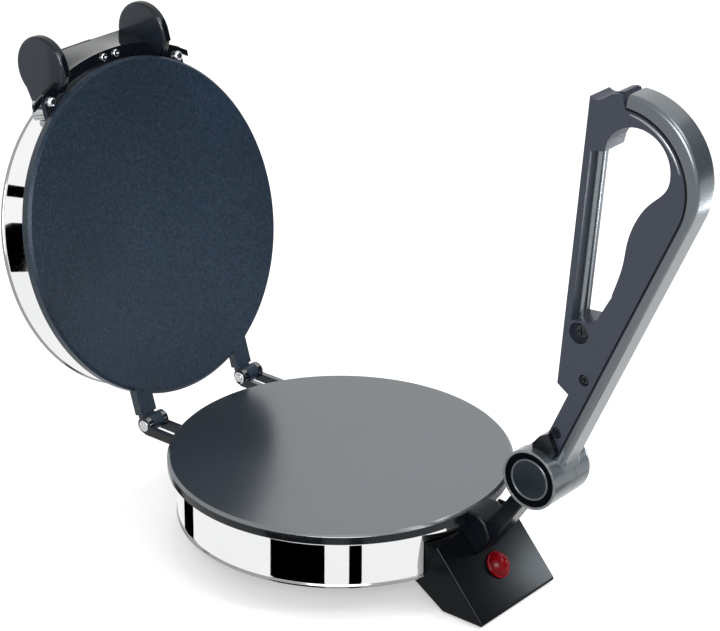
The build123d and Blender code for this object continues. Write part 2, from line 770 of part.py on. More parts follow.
def bracket_bolt_holes():
    """Bores for the bracket's bolts, long enough for foot and band."""
    bore = Cylinder(bracket_bolt_radius, 4 * bracket_seat)
    return [bolt_axis(x, -band_radius) * bore for x in (-bracket_bolt_x, bracket_bolt_x)]


def make_front_bracket():
    """Cast arm from the band's front up to the lever's pivot, ending in a round eye."""
    pad = slab(bracket_pad_outline(), 0, pad_width)
    pad = fillet(pad.faces().filter_by(Axis.X).edges(), neck_edge)
    pad -= cylinder_z(plate_radius + cut_gap, -rim_height - cut_gap, 1.0)
    pad -= cylinder_z(band_radius, base_bead_z - bead_radius, -rim_height)
    along = Pos(0, pivot_y, pivot_z) * Rot(neck_angle, 0, 0)
    arm = block((-neck_width / 2, neck_width / 2), (0, neck_length),
                (-neck_thickness / 2, neck_thickness / 2))
    arm = along * fillet(arm.edges().filter_by(Axis.Y), neck_edge)
    eye = cylinder_x(eye_radius, -neck_width / 2, neck_width / 2, pivot_y, pivot_z)
    bracket = pad + arm + eye
    bracket -= cylinder_x(bolt_radius + running_gap, -neck_width, neck_width, pivot_y, pivot_z)
    for bore in bracket_bolt_holes():
        bracket -= bore
    well = Cylinder(bracket_bolt_head_radius + cut_gap, 4 * bracket_seat,
                    align=(Align.CENTER, Align.CENTER, Align.MIN))
    for x in (-bracket_bolt_x, bracket_bolt_x):
        bracket -= bolt_axis(x, bracket_seat_y) * well
    save("front_bracket", bracket)


def make_bracket_bolts():
    """Socket head screws through foot and band, with their nuts inside the band."""
    head = Cylinder(bracket_bolt_head_radius, bracket_bolt_head_height,
                    align=(Align.CENTER, Align.CENTER, Align.MIN))
    socket = extrude(RegularPolygon(bracket_bolt_socket, 6), amount=bracket_bolt_head_height)
    head -= Pos(0, 0, bracket_bolt_head_height / 2) * socket
    shank = Cylinder(bracket_bolt_radius, bracket_bolt_length,
                     align=(Align.CENTER, Align.CENTER, Align.MAX))
    nut = extrude(RegularPolygon(bracket_nut_radius, 6), amount=bracket_nut_height)
    nut = Pos(0, 0, -bracket_nut_place) * nut
    bolt = head + shank + nut
    bolts = [bolt_axis(x, bracket_seat_y) * bolt for x in (-bracket_bolt_x, bracket_bolt_x)]
    save("bracket_bolts", Compound(children=bolts))


def make_base():
    web = -plate_thickness
    make_lower_plate()
    make_hinge_pins()
    band = steel_band(web, base_band_height, -1)
    for bore in bracket_bolt_holes():
        band -= bore
    save("base_band", band)
    save("lower_element", heating_ring(web, -1))
    save("lower_element_clamp", clamp_disc(web, -1))
    save("base_heat_shield", heat_shield(web, -1))
    save("lower_centre_bolt", centre_bolt(web, -1))
    save("pan_pillars", cover_pillars(web, pan_bottom_z + pan_wall, 90.0))
    save("pan_screws", cover_screws(pan_bottom_z, -1, 90.0))
    make_feet()
    make_bottom_pan()
    x, y = ring_places(1, control_ring_radius, 250.0)[0]
    seat = web - thermostat_height + thermostat_cap_height
    stat = cylinder_z(thermostat_radius, seat, web, x, y)
    stat += cylinder_z(thermostat_cap_radius, web - thermostat_height, seat, x, y)
    save("thermostat", stat)
    x, y = ring_places(1, control_ring_radius, 290.0)[0]
    at = Pos(x, y, web - fuse_clip_height / 2) * Rot(0, 0, 20)
    fuse = at * Rot(0, 90, 0) * Cylinder(fuse_radius, fuse_length)
    clip = at * Box(fuse_clip_width, fuse_clip_depth, fuse_clip_height)
    save("thermal_fuse", fuse + clip)
    make_housing()
    make_lamp()
    make_cord_inlet()
    make_front_bracket()
    make_bracket_bolts()


# ---------------------------------------------------------------- lid, drawn shut and then opened

def flange_arc(radius, half, z):
    """Arc of the bracket's flange at a height, from x = -half to half, with its two end points."""
    end_y = flange_centre_y - sqrt(radius ** 2 - half ** 2)
    ends = (-half, end_y, z), (half, end_y, z)
    return ThreePointArc(ends[0], (0, flange_centre_y - radius, z), ends[1]), *ends


def arc_plate(outer, inner, half, z, thickness):
    """Plate between two arcs of the flange's centre, cut off square at x = -half and half."""
    front, left, right = flange_arc(outer, half, z)
    back, back_left, back_right = flange_arc(inner, half, z)
    face = make_face(front + Line(right, back_right) + back + Line(back_left, left))
    return extrude(face, amount=thickness, dir=(0, 0, 1))


def bridge_loft():
    """Front wall of the lid's bracket: an arc at its foot, a straight bar at its top."""
    half = ear_spread - ear_thickness / 2 + 0.2
    front, left, right = flange_arc(flange_arc_radius, half, flange_top)
    back, back_left, back_right = flange_arc(flange_arc_radius - bridge_depth, half, flange_top)
    foot = make_face(front + Line(right, back_right) + back + Line(back_left, left))
    bar = outline((-half, bridge_front), (half, bridge_front),
                  (half, bridge_front + bridge_depth), (-half, bridge_front + bridge_depth))
    bridge = loft([foot, Pos(0, 0, bridge_top) * bar], ruled=True)
    top = bridge.edges().filter_by(Axis.X).group_by(Axis.Z)[-1]
    return fillet(top, bridge_edge)


def ear_shape():
    """Round cheek beside the lever's path, with its root against the band."""
    back = ear_y + ear_radius + 12.0
    lobe = Pos(ear_y, ear_z) * Circle(ear_radius)
    root = outline(
        (ear_y - 3.5, ear_z + ear_radius - 0.3),
        (back, ear_z + ear_radius - 7.6),
        (back, flange_bottom),
        (ear_y + 7.5, flange_bottom),
        (ear_y + 7.5, ear_z - ear_radius),
        (ear_y, ear_z - ear_radius),
    )
    ear = slab(lobe + root, -ear_spread, ear_thickness)
    return fillet(ear.faces().filter_by(Axis.X).edges(), ear_edge)


def stud_place(ring):
    """(x, y) at the flange's left end, on a ring round the plates' axis."""
    return -stud_x, -sqrt(ring ** 2 - stud_x ** 2)


def bracket_screw_places():
    """(x, y) of the two screws under the middle of the flange."""
    y = -sqrt(bracket_screw_ring ** 2 - bracket_screw_x ** 2)
    return [(-bracket_screw_x, y), (bracket_screw_x, y)]


def make_lid_bracket():
    """Moulded handle on the lid's front: arc flange, bridge and two round ears."""
    inner = flange_arc_radius - 40.0
    flange = arc_plate(flange_arc_radius, inner, flange_half_width, flange_bottom, flange_thickness)
    lip = arc_plate(flange_arc_radius, flange_arc_radius - lip_width, lip_half_width,
                    flange_top - lip_thickness, lip_thickness)
    ear = ear_shape()
    bracket = flange + lip + bridge_loft() + ear + mirrored(ear)
    bracket -= cylinder_z(band_radius, -5, base_of_lid_bead)
    bead_bore = band_radius + bead_overhang + seat_gap
    bracket -= cylinder_z(bead_bore, base_of_lid_bead - seat_gap, bridge_top + 1)
    bracket -= cylinder_z(plate_radius + cut_gap, -10, lid_face_z + rim_height + cut_gap)
    groove = cylinder_x(press_radius, -press_half, press_half, press_y, press_z)
    bracket -= groove
    for x, y in bracket_screw_places():
        screw_top = flange_bottom + bracket_screw_length
        bracket -= cylinder_z(bracket_screw_radius, flange_bottom - 1, screw_top, x, y)
    stud = cylinder_z(stud_radius, flange_bottom - 1, flange_top + 1, *stud_place(stud_ring))
    bracket -= stud + mirrored(stud)
    save("lid_bracket", opened(bracket))
    around = 2 * press_radius
    pad = groove & block((-press_half, press_half), (press_y - around, press_y + around),
                         (bridge_top - 3.0, press_z + around))
    save("press_pad", opened(pad))


def make_lid_fixings():
    """Screws under the flange, and at each end of it a stud with its spacer sleeve."""
    screw = Rot(180, 0, 0) * pan_head_screw(bracket_screw_head_radius, bracket_screw_head_height,
                                            bracket_screw_radius, bracket_screw_length)
    group = Compound(children=[Pos(x, y, flange_bottom) * screw for x, y in bracket_screw_places()])
    save("lid_bracket_screws", opened(group))
    x, y = stud_place(stud_ring)
    end = flange_top + stud_rise
    head = cylinder_z(stud_head_radius, flange_bottom - stud_head_height, flange_bottom, x, y)
    head = fillet(head.edges().group_by(Axis.Z)[0], stud_head_height * 0.7)
    shank = cylinder_z(stud_radius, flange_bottom, end, x, y)
    x, y = stud_place(sleeve_ring)
    sleeve = cylinder_z(sleeve_radius, flange_top, end, x, y)
    save("ear_screws", opened(both_sides(Compound(children=[head + shank, sleeve]))))


def make_upper_plate():
    plate = cooking_plate(lid_face_z, 1)
    low, high = lid_face_z + cheek_rise, lid_face_z + rim_height - cheek_rise
    root_end = hinge_y - knuckle_radius - lug_root_gap
    for hinge_x in (-hinge_spread, hinge_spread):
        plate += knuckle_arm(hinge_x, lug_width, low, high)
        root = knuckle_arm(hinge_x, lug_root_width, low, high)
        across = (hinge_x - lug_root_width, hinge_x + lug_root_width)
        plate += root & block(across, (0, root_end), (low, high))
        plate -= cylinder_x(pin_radius + running_gap, *across, hinge_y, hinge_z)
    save("upper_plate", opened(plate))


def make_lid():
    web = lid_web_z
    make_upper_plate()
    band = steel_band(web, lid_band_height, 1)
    save("lid_band", opened(band))
    cover = pressed_cover(lid_top_z - bead_radius, 1)
    cover_top = lid_top_z - 2 * bead_radius + cover_step
    for x, y in ring_places(3, pillar_ring_radius, 30.0):
        cover -= cylinder_z(cover_screw_radius, cover_top - 2 * cover_step, cover_top + 1, x, y)
    save("lid_cover", opened(cover))
    save("lid_pillars", opened(cover_pillars(web, cover_top - pan_wall, 30.0)))
    save("lid_cover_screws", opened(cover_screws(cover_top, 1, 30.0)))
    save("upper_element", opened(heating_ring(web, 1)))
    save("upper_element_clamp", opened(clamp_disc(web, 1)))
    save("lid_heat_shield", opened(heat_shield(web, 1)))
    save("upper_centre_bolt", opened(centre_bolt(web, 1)))
    make_lid_bracket()
    make_lid_fixings()


# ---------------------------------------------------------------- lever, about its pivot axis

lever_at = Pos(0, pivot_y, pivot_z)


def arm_point(along, outward):
    """(y, z) from the pivot axis: so far up the leaning arm, so far to its outer side."""
    lean = radians(lever_lean)
    return (-along * sin(lean) - outward * cos(lean), along * cos(lean) - outward * sin(lean))


def leg_point(along, outward):
    """(y, z) from the pivot axis, the same way for the D's straight leg."""
    lean = radians(leg_lean)
    return (-along * sin(lean) - outward * cos(lean), along * cos(lean) - outward * sin(lean))


def on_circle(centre, radius, angle):
    """(y, z) on a circle at an angle in degrees from +Y."""
    return (centre[0] + radius * cos(radians(angle)), centre[1] + radius * sin(radians(angle)))


bow_centre = arm_point(bow_station, arm_outer - bow_radius)
strip_bow_centre = arm_point(strip_bow_station, arm_outer - strip_depth - strip_bow_radius)
outward_angle = 180.0 + lever_lean
strip_top_angle = 92.0


def strip_edge(shrink=0.0):
    """Line between grip and cover strip, from the strip's top end down to the arm's root."""
    radius = strip_bow_radius - shrink
    top = on_circle(strip_bow_centre, radius, strip_top_angle)
    middle = on_circle(strip_bow_centre, radius, (strip_top_angle + outward_angle) / 2)
    low = on_circle(strip_bow_centre, radius, outward_angle)
    root = arm_point(root_start, arm_outer - strip_depth - shrink)
    return ThreePointArc(top, middle, low) + Line(low, root), top, root


def grip_outline(shrink):
    """Side outline of the grip; shrink narrows it along the cover strip."""
    edge, top, root = strip_edge(shrink)
    tip = leg_point(leg_start + leg_length, leg_offset)
    crest = (top[0] + 3.2, top[1] + 7.6 + shrink * 0.2)
    waves = Spline(tip, (tip[0] - 6.2, tip[1] - 1.0), (tip[0] - 13.2, tip[1] + 3.4), crest)
    inside = Polyline(
        arm_point(root_start, arm_inner),
        arm_point(notch_station, arm_inner),
        leg_point(leg_start, leg_offset),
        tip,
    )
    return make_face(inside + waves + Line(crest, top) + edge + Line(root, arm_point(root_start, arm_inner)))


def hand_hole():
    """D shaped opening: straight beside the rod, round at the top, waisted at its back."""
    bar = leg_offset + leg_thickness
    low = leg_point(hole_low, bar)
    high = leg_point(hole_high, bar)
    start = on_circle(hole_centre, hole_radius, 27.0)
    top = on_circle(hole_centre, hole_radius, 100.0)
    end = on_circle(hole_centre, hole_radius, 183.0)
    back = Spline(end, *hole_back, tangents=((0, -1), (0.48, -0.88)))
    return make_face(
        Polyline(low, high, (start[0] + 1.6, high[1] + 1.8), start)
        + ThreePointArc(start, top, end)
        + back
        + Polyline(hole_back[-1], (hole_back[-1][0] + hole_corner, hole_low), low)
    )


def lever_block(x_half, station_range, outward_range):
    """Bar along the arm, between two stations and two offsets."""
    (a0, a1), (b0, b1) = station_range, outward_range
    shape = outline(arm_point(a0, b0), arm_point(a1, b0), arm_point(a1, b1), arm_point(a0, b1))
    return slab(shape, 0, 2 * x_half)


def rod_solid():
    """Steel rod along the straight leg."""
    low = leg_point(rod_from, rod_offset)
    high = leg_point(rod_to, rod_offset)
    length = sqrt((high[0] - low[0]) ** 2 + (high[1] - low[1]) ** 2)
    middle = ((low[0] + high[0]) / 2, (low[1] + high[1]) / 2)
    return Pos(0, *middle) * Rot(leg_lean, 0, 0) * Cylinder(rod_radius, length)


def screw_places():
    """(y, z, pit radius, pit depth) of the screws in the grip's side."""
    upper = leg_point(101.0, leg_offset + 10.5)
    middle = arm_point(76.8, -2.0)
    lower = arm_point(33.4, -2.0)
    small = (small_pit_radius, small_pit_depth)
    return [(*upper, large_pit_radius, large_pit_depth), (*middle, *small), (*lower, *small)]


def make_grip():
    half = lever_width / 2
    grip = slab(grip_outline(shadow_gap), 0, lever_width)
    grip += slab(grip_outline(0.0), 0, lever_width - 2 * shadow_depth)
    grip -= slab(hand_hole(), 0, lever_width + 2)
    grip -= cylinder_x(hub_radius, -hub_half, hub_half, 0, 0)
    grip -= tang_solid()
    grip -= rod_solid()
    for y, z, radius, depth in screw_places():
        grip -= cylinder_x(radius, -half - 1, -half + depth, y, z)
        grip -= cylinder_x(lever_screw_radius, -half, half - lever_screw_bite, y, z)
    save("lever_grip", lever_at * grip)
    save("lever_rod", lever_at * rod_solid())


def make_lever_screws():
    screws = []
    for y, z, radius, depth in screw_places():
        head_radius = large_screw_head_radius if radius == large_pit_radius else lever_screw_head_radius
        length = lever_width - depth - lever_screw_bite
        screw = pan_head_screw(head_radius, lever_screw_head_height, lever_screw_radius, length)
        screws.append(Pos(-lever_width / 2 + depth, y, z) * Rot(0, -90, 0) * screw)
    save("lever_screws", lever_at * Compound(children=screws))


def make_cover_strip():
    """Strip along the outer edge of arm and bow, which runs into the barrel in a hollow curve."""
    edge, top, root = strip_edge()
    outer_top = on_circle(bow_centre, bow_radius, strip_top_angle - 2.5)
    outer_middle = on_circle(bow_centre, bow_radius, (strip_top_angle + outward_angle) / 2)
    outer_low = on_circle(bow_centre, bow_radius, outward_angle)
    blend_out = arm_outer + strip_blend
    blend_along = sqrt((hub_radius + strip_blend) ** 2 - blend_out ** 2)
    share = hub_radius / (hub_radius + strip_blend)
    turn = (radians(90.0) + atan2(blend_out, blend_along)) / 2
    middle = arm_point(blend_along - strip_blend * cos(turn), blend_out - strip_blend * sin(turn))
    landing = arm_point(blend_along * share, blend_out * share)
    face = make_face(
        edge
        + Line(root, landing)
        + ThreePointArc(landing, middle, arm_point(blend_along, arm_outer))
        + Line(arm_point(blend_along, arm_outer), outer_low)
        + ThreePointArc(outer_low, outer_middle, outer_top)
        + Line(outer_top, top)
    )
    strip = slab(face, 0, lever_width)
    strip -= cylinder_x(hub_radius, -hub_half, hub_half, 0, 0)
    save("lever_cover_strip", lever_at * strip)


def tang_solid():
    """Flat bar of the hub that runs up inside the grip."""
    tang = lever_block(tang_half, (10.0, tang_length), (-5.0, 1.0))
    for y, z, _, _ in screw_places()[1:]:
        tang -= cylinder_x(lever_screw_radius, -2 * tang_half, 2 * tang_half, y, z)
    return tang


def window_sector():
    """Part of the hub's wall that is open, so that the bracket's arm can sweep through."""
    reach = 2 * hub_radius
    arm_half = degrees(asin(neck_thickness / 2 / (hub_radius - hub_wall)))
    low = radians(neck_angle - arm_half - window_margin)
    high = radians(neck_angle + fold_angle + arm_half + window_margin)
    middle = (low + high) / 2
    return outline((0, 0), (reach * cos(low), reach * sin(low)),
                   (reach * cos(middle), reach * sin(middle)), (reach * cos(high), reach * sin(high)))


def make_hub():
    """Barrel on the pivot, hollow in the middle for the bracket's eye, with its tang."""
    hub = cylinder_x(hub_radius, -hub_half, hub_half, 0, 0)
    hub = fillet(hub.edges().group_by(Axis.X)[-1], hub_end_rounding)
    seam = cylinder_x(hub_radius + 1, hub_seam_x, hub_seam_x + hub_seam_width, 0, 0)
    hub -= seam - cylinder_x(hub_radius - hub_seam_depth, 0, hub_half, 0, 0)
    inside = neck_width / 2 + side_play
    hub -= cylinder_x(hub_radius - hub_wall, -inside, inside, 0, 0)
    hub -= slab(window_sector(), 0, 2 * inside)
    tang = tang_solid() - cylinder_x(hub_radius - hub_wall / 2, -hub_half, hub_half, 0, 0)
    hub += tang
    hub -= cylinder_x(bolt_radius, -hub_half, hub_half, 0, 0)
    for side, radius in ((-1, cap_radius), (1, cap_radius_right)):
        outer = side * (hub_half + 1)
        hub -= cylinder_x(radius, *sorted((side * (hub_half - cap_depth), outer)), 0, 0)
        hub -= cylinder_x(head_well_radius, *sorted((side * head_well_floor, outer)), 0, 0)
    save("lever_hub", lever_at * hub)


def cap_shape(radius, disc_radius):
    """Cap drawn on the +X end: a sunk ring round a domed disc."""
    low = hub_half - cap_depth
    disc_x = hub_half - seat_gap
    ball = (disc_radius ** 2 + cap_dome ** 2) / (2 * cap_dome)
    dome = Pos(disc_x + cap_dome - ball, 0, 0) * Sphere(ball)
    dome &= cylinder_x(disc_radius, disc_x - cap_dome, hub_half + 2 * cap_dome, 0, 0)
    ring = cylinder_x(radius, low, hub_half - cap_groove, 0, 0)
    return ring + cylinder_x(disc_radius, low, disc_x, 0, 0) + dome


def make_caps():
    """Black end caps of the barrel; the left one shows a wide ring round its disc."""
    save("hub_cap_right", lever_at * cap_shape(cap_radius_right, cap_radius_right - 2.0))
    save("hub_cap_left", lever_at * mirrored(cap_shape(cap_radius, cap_disc_radius)))


def make_pivot_bolt():
    """Hexagon bolt through hub and eye, with its nut in the other well."""
    hexagon = extrude(RegularPolygon(bolt_head_radius, 6), amount=bolt_head_height)
    head = Pos(-head_well_floor, 0, 0) * Rot(0, -90, 0) * hexagon
    shank = cylinder_x(bolt_radius, -head_well_floor, head_well_floor + bolt_tail, 0, 0)
    save("pivot_bolt", lever_at * (head + shank))
    nut = Pos(head_well_floor, 0, 0) * Rot(0, 90, 0) * hexagon
    nut -= cylinder_x(bolt_radius, 0, hub_half, 0, 0)
    save("pivot_nut", lever_at * nut)


def make_collar():
    """Saddle between barrel and grip, flared towards the lid."""
    groove = arm_outer - strip_depth - shadow_gap
    shape = outline(
        on_circle((0, 0), hub_radius - 1, 83.0),
        on_circle((0, 0), hub_radius + 2.9, 83.5),
        (-3.2, hub_radius + 9.2),
        (-8.4, hub_radius + 12.2),
        arm_point(hub_radius + 5.0, groove),
        arm_point(root_start, groove),
    )
    collar = slab(shape, 0, collar_width)
    collar -= cylinder_x(hub_radius, -hub_half, hub_half, 0, 0)
    collar -= slab(grip_outline(0.0), 0, lever_width)
    collar -= lever_block(lever_width / 2, (0, 2 * (root_start + hub_radius)), (-1.0, arm_outer))
    save("lever_collar", lever_at * collar)


def make_lever():
    make_hub()
    make_caps()
    make_pivot_bolt()
    make_collar()
    make_grip()
    make_cover_strip()
    make_lever_screws()


make_base()
make_lid()
make_lever()
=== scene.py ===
import json
import bmesh
import bpy
import numpy as np
from mathutils import Matrix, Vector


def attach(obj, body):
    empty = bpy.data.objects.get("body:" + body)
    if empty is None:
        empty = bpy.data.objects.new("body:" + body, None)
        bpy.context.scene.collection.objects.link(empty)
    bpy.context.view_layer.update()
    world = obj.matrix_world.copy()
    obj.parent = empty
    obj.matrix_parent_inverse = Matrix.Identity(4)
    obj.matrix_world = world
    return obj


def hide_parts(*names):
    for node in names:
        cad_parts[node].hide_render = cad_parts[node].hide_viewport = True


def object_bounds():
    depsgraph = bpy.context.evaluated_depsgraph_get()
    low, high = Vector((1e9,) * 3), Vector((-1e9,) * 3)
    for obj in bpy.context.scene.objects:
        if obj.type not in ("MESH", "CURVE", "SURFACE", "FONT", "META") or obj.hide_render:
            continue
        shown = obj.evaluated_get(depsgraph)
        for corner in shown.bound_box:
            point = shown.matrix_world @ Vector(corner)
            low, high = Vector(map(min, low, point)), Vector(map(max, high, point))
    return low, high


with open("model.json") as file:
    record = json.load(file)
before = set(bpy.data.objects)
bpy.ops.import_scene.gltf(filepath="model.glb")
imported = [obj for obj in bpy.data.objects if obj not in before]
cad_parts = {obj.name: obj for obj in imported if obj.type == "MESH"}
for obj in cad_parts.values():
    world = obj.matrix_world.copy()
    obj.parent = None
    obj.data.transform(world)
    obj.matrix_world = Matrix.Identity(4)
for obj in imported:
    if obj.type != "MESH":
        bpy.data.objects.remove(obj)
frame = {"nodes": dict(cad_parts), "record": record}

# Electric flatbread maker: heated base, hinged lid and a press lever on a barrel hinge.
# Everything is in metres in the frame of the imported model: +Z up, the lever in front at -Y.

cad_box = [[float(v) for v in corner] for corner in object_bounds()]


# ---------------------------------------------------------------- places and sizes

record = frame["record"]
body_of_node = {n: body for body, row in record["behaviour"]["bodies"].items() for n in row}
joints = {row["name"]: row for row in record["behaviour"]["joints"]}
hinge = joints["lid_hinge"]["pos_m"][1:]            # (y, z) of the lid's hinge axis
open_angle = joints["lid_hinge"]["range_deg"][1]    # from the closed lid to the lid at rest
pivot_y, pivot_z = joints["lever_pivot"]["pos_m"][1:]
floor_z = cad_box[0][2]

band_radius = 0.1042          # outside of both steel bands
band_sheet = 0.0009
band_bead = 0.0015            # radius of their rolled edges
base_band_height = 0.0361     # from the lower plate's web to the bead's underside
lid_band_height = 0.0299      # from the upper plate's web to the bead's top
lower_web = -0.0045           # webs of the two plates, with the lid closed
upper_web = 0.0055

lens_radius = 0.0079
lens_rise = 0.0060            # of its crown above its flange
lens_flange = 0.0012          # thickness of the flange
lens_place = (0.0, -0.12565, -0.0374)    # middle of the flange's underside
housing_slope = (-0.7539, 0.6570)        # (y, z) of the way the sloping face looks

left_cap_radius = 0.01735
left_cap_disc = 0.0128
right_cap_radius = 0.01345
right_cap_disc = 0.0098
cap_face = 0.0183             # sunk ring of a cap, from the lever's middle plane
cap_back = 0.0170             # and the cap's back

arm_lean = 24.0               # of the lever's arm from upright, in degrees
arm_half_width = 0.0095
strip_inner = 0.0063          # cover strip's line on the grip, outwards from the arm's middle line
strip_outer = 0.0110          # and its outer face
bow_inner_radius = 0.0435     # the same two lines round the bow
bow_outer_radius = 0.04696
bow_inner_station = 0.2007    # how far up the arm the two arcs have their centres
bow_outer_station = 0.2055
bow_outer_side = -0.0360      # the outer arc's centre, outwards from the arm's middle line
hollow_radius = 0.0100        # hollow curve between strip and barrel
hollow_station = 0.0200       # how far up the arm it starts
hollow_turn = 43.6            # length of that curve, in degrees
hollow_inner_drop = 0.0021    # how far the strip's inner line goes on beside it


# ---------------------------------------------------------------- mesh helpers

def grid_faces(rows, columns, closed_rows=False, closed_columns=False):
    """Quads that join a rows x columns grid of points, wrapped round where a side is closed."""
    r = np.arange(rows if closed_rows else rows - 1)
    c = np.arange(columns if closed_columns else columns - 1)
    rr, cc = np.meshgrid(r, c, indexing="ij")
    r1, c1 = (rr + 1) % rows, (cc + 1) % columns
    quads = np.stack([rr * columns + cc, rr * columns + c1, r1 * columns + c1, r1 * columns + cc], -1)
    return quads.reshape(-1, 4)


def enclosed_volume(points, faces):
    """Signed volume inside a mesh: a sixth of the sum of a . (b x c) over its faces' triangles."""
    total = 0.0
    for last in range(2, faces.shape[1]):
        a, b, c = points[faces[:, 0]], points[faces[:, last - 1]], points[faces[:, last]]
        total += np.einsum("ij,ij->i", a, np.cross(b, c)).sum() / 6
    return total


def mesh_object(name, points, faces, smooth=True, fans=None):
    """A new object from (n, 3) points, (m, 4) quads and (k, 3) triangles, turned to face outwards."""
    points, faces = np.asarray(points, float), np.asarray(faces)
    volume = enclosed_volume(points, faces)
    rows = faces.tolist()
    if fans is not None:
        volume += enclosed_volume(points, fans)
        rows += fans.tolist()
    if volume < 0:
        rows = [row[::-1] for row in rows]
    mesh = bpy.data.meshes.new(name)
    mesh.from_pydata(points.tolist(), [], rows)
    mesh.polygons.foreach_set("use_smooth", np.full(len(mesh.polygons), smooth))
    mesh.update()
    piece = bpy.data.objects.new(name, mesh)
    bpy.context.scene.collection.objects.link(piece)
    return piece


def arc(centre, radius, start, end, steps):
    """Points of an arc in a profile: centre + radius (cos a, sin a), a from start to end in degrees."""
    a = np.radians(np.linspace(start, end, steps))
    return np.stack([centre[0] + radius * np.cos(a), centre[1] + radius * np.sin(a)], -1)


def turned_ring(profile, segments):
    """A closed profile of (radius, height) carried round +Z: (r cos t, r sin t, h)."""
    t = np.linspace(0, 2 * np.pi, segments + 1)[:-1]
    r, h = profile[:, 0][:, None], profile[:, 1][:, None]
    points = np.stack([r * np.cos(t), r * np.sin(t), h + 0 * t], -1).reshape(-1, 3)
    return points, grid_faces(len(profile), segments, closed_rows=True, closed_columns=True)


def turned_body(profile, segments):
    """A profile from axis to axis carried round +Z: (r cos t, r sin t, h), each end one pole point."""
    t = np.linspace(0, 2 * np.pi, segments + 1)[:-1]
    inner = profile[1:-1]
    r, h = inner[:, 0][:, None], inner[:, 1][:, None]
    rings = np.stack([r * np.cos(t), r * np.sin(t), h + 0 * t], -1).reshape(-1, 3)
    poles = np.array([[0, 0, profile[0, 1]], [0, 0, profile[-1, 1]]])
    count, around = len(rings), np.arange(segments)
    following = (around + 1) % segments
    last = count - segments
    near = np.stack([np.full(segments, count), following, around], -1)
    far = np.stack([np.full(segments, count + 1), last + around, last + following], -1)
    faces = grid_faces(len(inner), segments, closed_columns=True)
    return np.vstack([rings, poles]), faces, np.vstack([near, far])


def on_axes(points, origin, x_dir, y_dir, z_dir):
    """Points carried to a new frame: origin + x x_dir + y y_dir + z z_dir."""
    return np.asarray(origin) + points @ np.array([x_dir, y_dir, z_dir], float)


def opened(points):
    """Points of the closed lid turned back about its hinge by the opening angle."""
    a = np.radians(-open_angle)
    y, z = points[:, 1] - hinge[0], points[:, 2] - hinge[1]
    return np.stack([points[:, 0], hinge[0] + np.cos(a) * y - np.sin(a) * z,
                     hinge[1] + np.sin(a) * y + np.cos(a) * z], -1)


def stands_for(piece, material, node_name):
    """Puts a finished piece in place of a node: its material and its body."""
    piece.data.materials.clear()
    piece.data.materials.append(material)
    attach(piece, body_of_node[node_name])
    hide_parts(node_name)
    return piece


def merged_copy(name, node_name):
    """A node's mesh with its doubles merged and its flat faces joined, as a new object."""
    together, in_plane = 2e-6, np.radians(0.4)
    work = bmesh.new()
    work.from_mesh(frame["nodes"][node_name].data)
    bmesh.ops.remove_doubles(work, verts=work.verts, dist=together)
    bmesh.ops.dissolve_limit(work, angle_limit=in_plane, verts=work.verts, edges=work.edges)
    mesh = bpy.data.meshes.new(name)
    work.to_mesh(mesh)
    work.free()
    if "custom_normal" in mesh.attributes:
        mesh.attributes.remove(mesh.attributes["custom_normal"])
    mesh.polygons.foreach_set("use_smooth", np.full(len(mesh.polygons), True))
    mesh.update()
    piece = bpy.data.objects.new(name, mesh)
    bpy.context.scene.collection.objects.link(piece)
    return piece


def add_finishes(piece, chosen, *materials):
    """Adds materials, and gives each face the one whose number the array holds: 0 or False is the
    piece's first material, and 1 or True the first that is added here."""
    for material in materials:
        piece.data.materials.append(material)
    piece.data.polygons.foreach_set("material_index", np.asarray(chosen).astype(np.int32))


def face_normals(piece):
    """(n, 3) array of a piece's face normals."""
    flat = np.empty(len(piece.data.polygons) * 3)
    piece.data.polygons.foreach_get("normal", flat)
    return flat.reshape(-1, 3)


def soften(piece, width, segments=2, angle=35.0):
    """Small rounding on every edge sharper than the angle, with flat faces kept flat in shading."""
    bevel = piece.modifiers.new("edges", "BEVEL")
    bevel.width = width
    bevel.segments = segments
    bevel.limit_method = "ANGLE"
    bevel.angle_limit = np.radians(angle)
    bevel.use_clamp_overlap = True
    weighted = piece.modifiers.new("flats", "WEIGHTED_NORMAL")
    weighted.weight = 100
    weighted.keep_sharp = False
    return piece


# ---------------------------------------------------------------- material helpers

cool_gloss = (0.90, 0.96, 1.0)    # tints of a reflection on black and coated surfaces
blue_gloss = (0.85, 0.94, 1.0)
bare_metal = 0.9                  # metallic from which a surface keeps its own tint


def new_material(name):
    """An empty node material: its nodes, its links and its Principled shader."""
    material = bpy.data.materials.new(name)
    material.use_nodes = True
    nodes, links = material.node_tree.nodes, material.node_tree.links
    return material, nodes, links, nodes["Principled BSDF"]


def noise(nodes, links, scale, detail=4.0, roughness=0.55, stretch=(1, 1, 1)):
    """Noise on Object coordinates, stretched along an axis, as a node whose Fac is 0 to 1."""
    place = nodes.new("ShaderNodeTexCoord")
    mapping = nodes.new("ShaderNodeMapping")
    mapping.inputs["Scale"].default_value = stretch
    links.new(place.outputs["Object"], mapping.inputs["Vector"])
    texture = nodes.new("ShaderNodeTexNoise")
    texture.inputs["Scale"].default_value = scale
    texture.inputs["Detail"].default_value = detail
    texture.inputs["Roughness"].default_value = roughness
    links.new(mapping.outputs["Vector"], texture.inputs["Vector"])
    return texture


def ramp(nodes, links, source, stops):
    """Colour ramp of (place, colour) stops, driven by a node's Fac."""
    node = nodes.new("ShaderNodeValToRGB")
    while len(node.color_ramp.elements) < len(stops):
        node.color_ramp.elements.new(0.5)
    for element, (place, colour) in zip(node.color_ramp.elements, stops):
        element.position = place
        element.color = (*colour, 1.0) if len(colour) == 3 else colour
    links.new(source, node.inputs["Fac"])
    return node


def grey(value):
    """A neutral colour."""
    return (value, value, value)


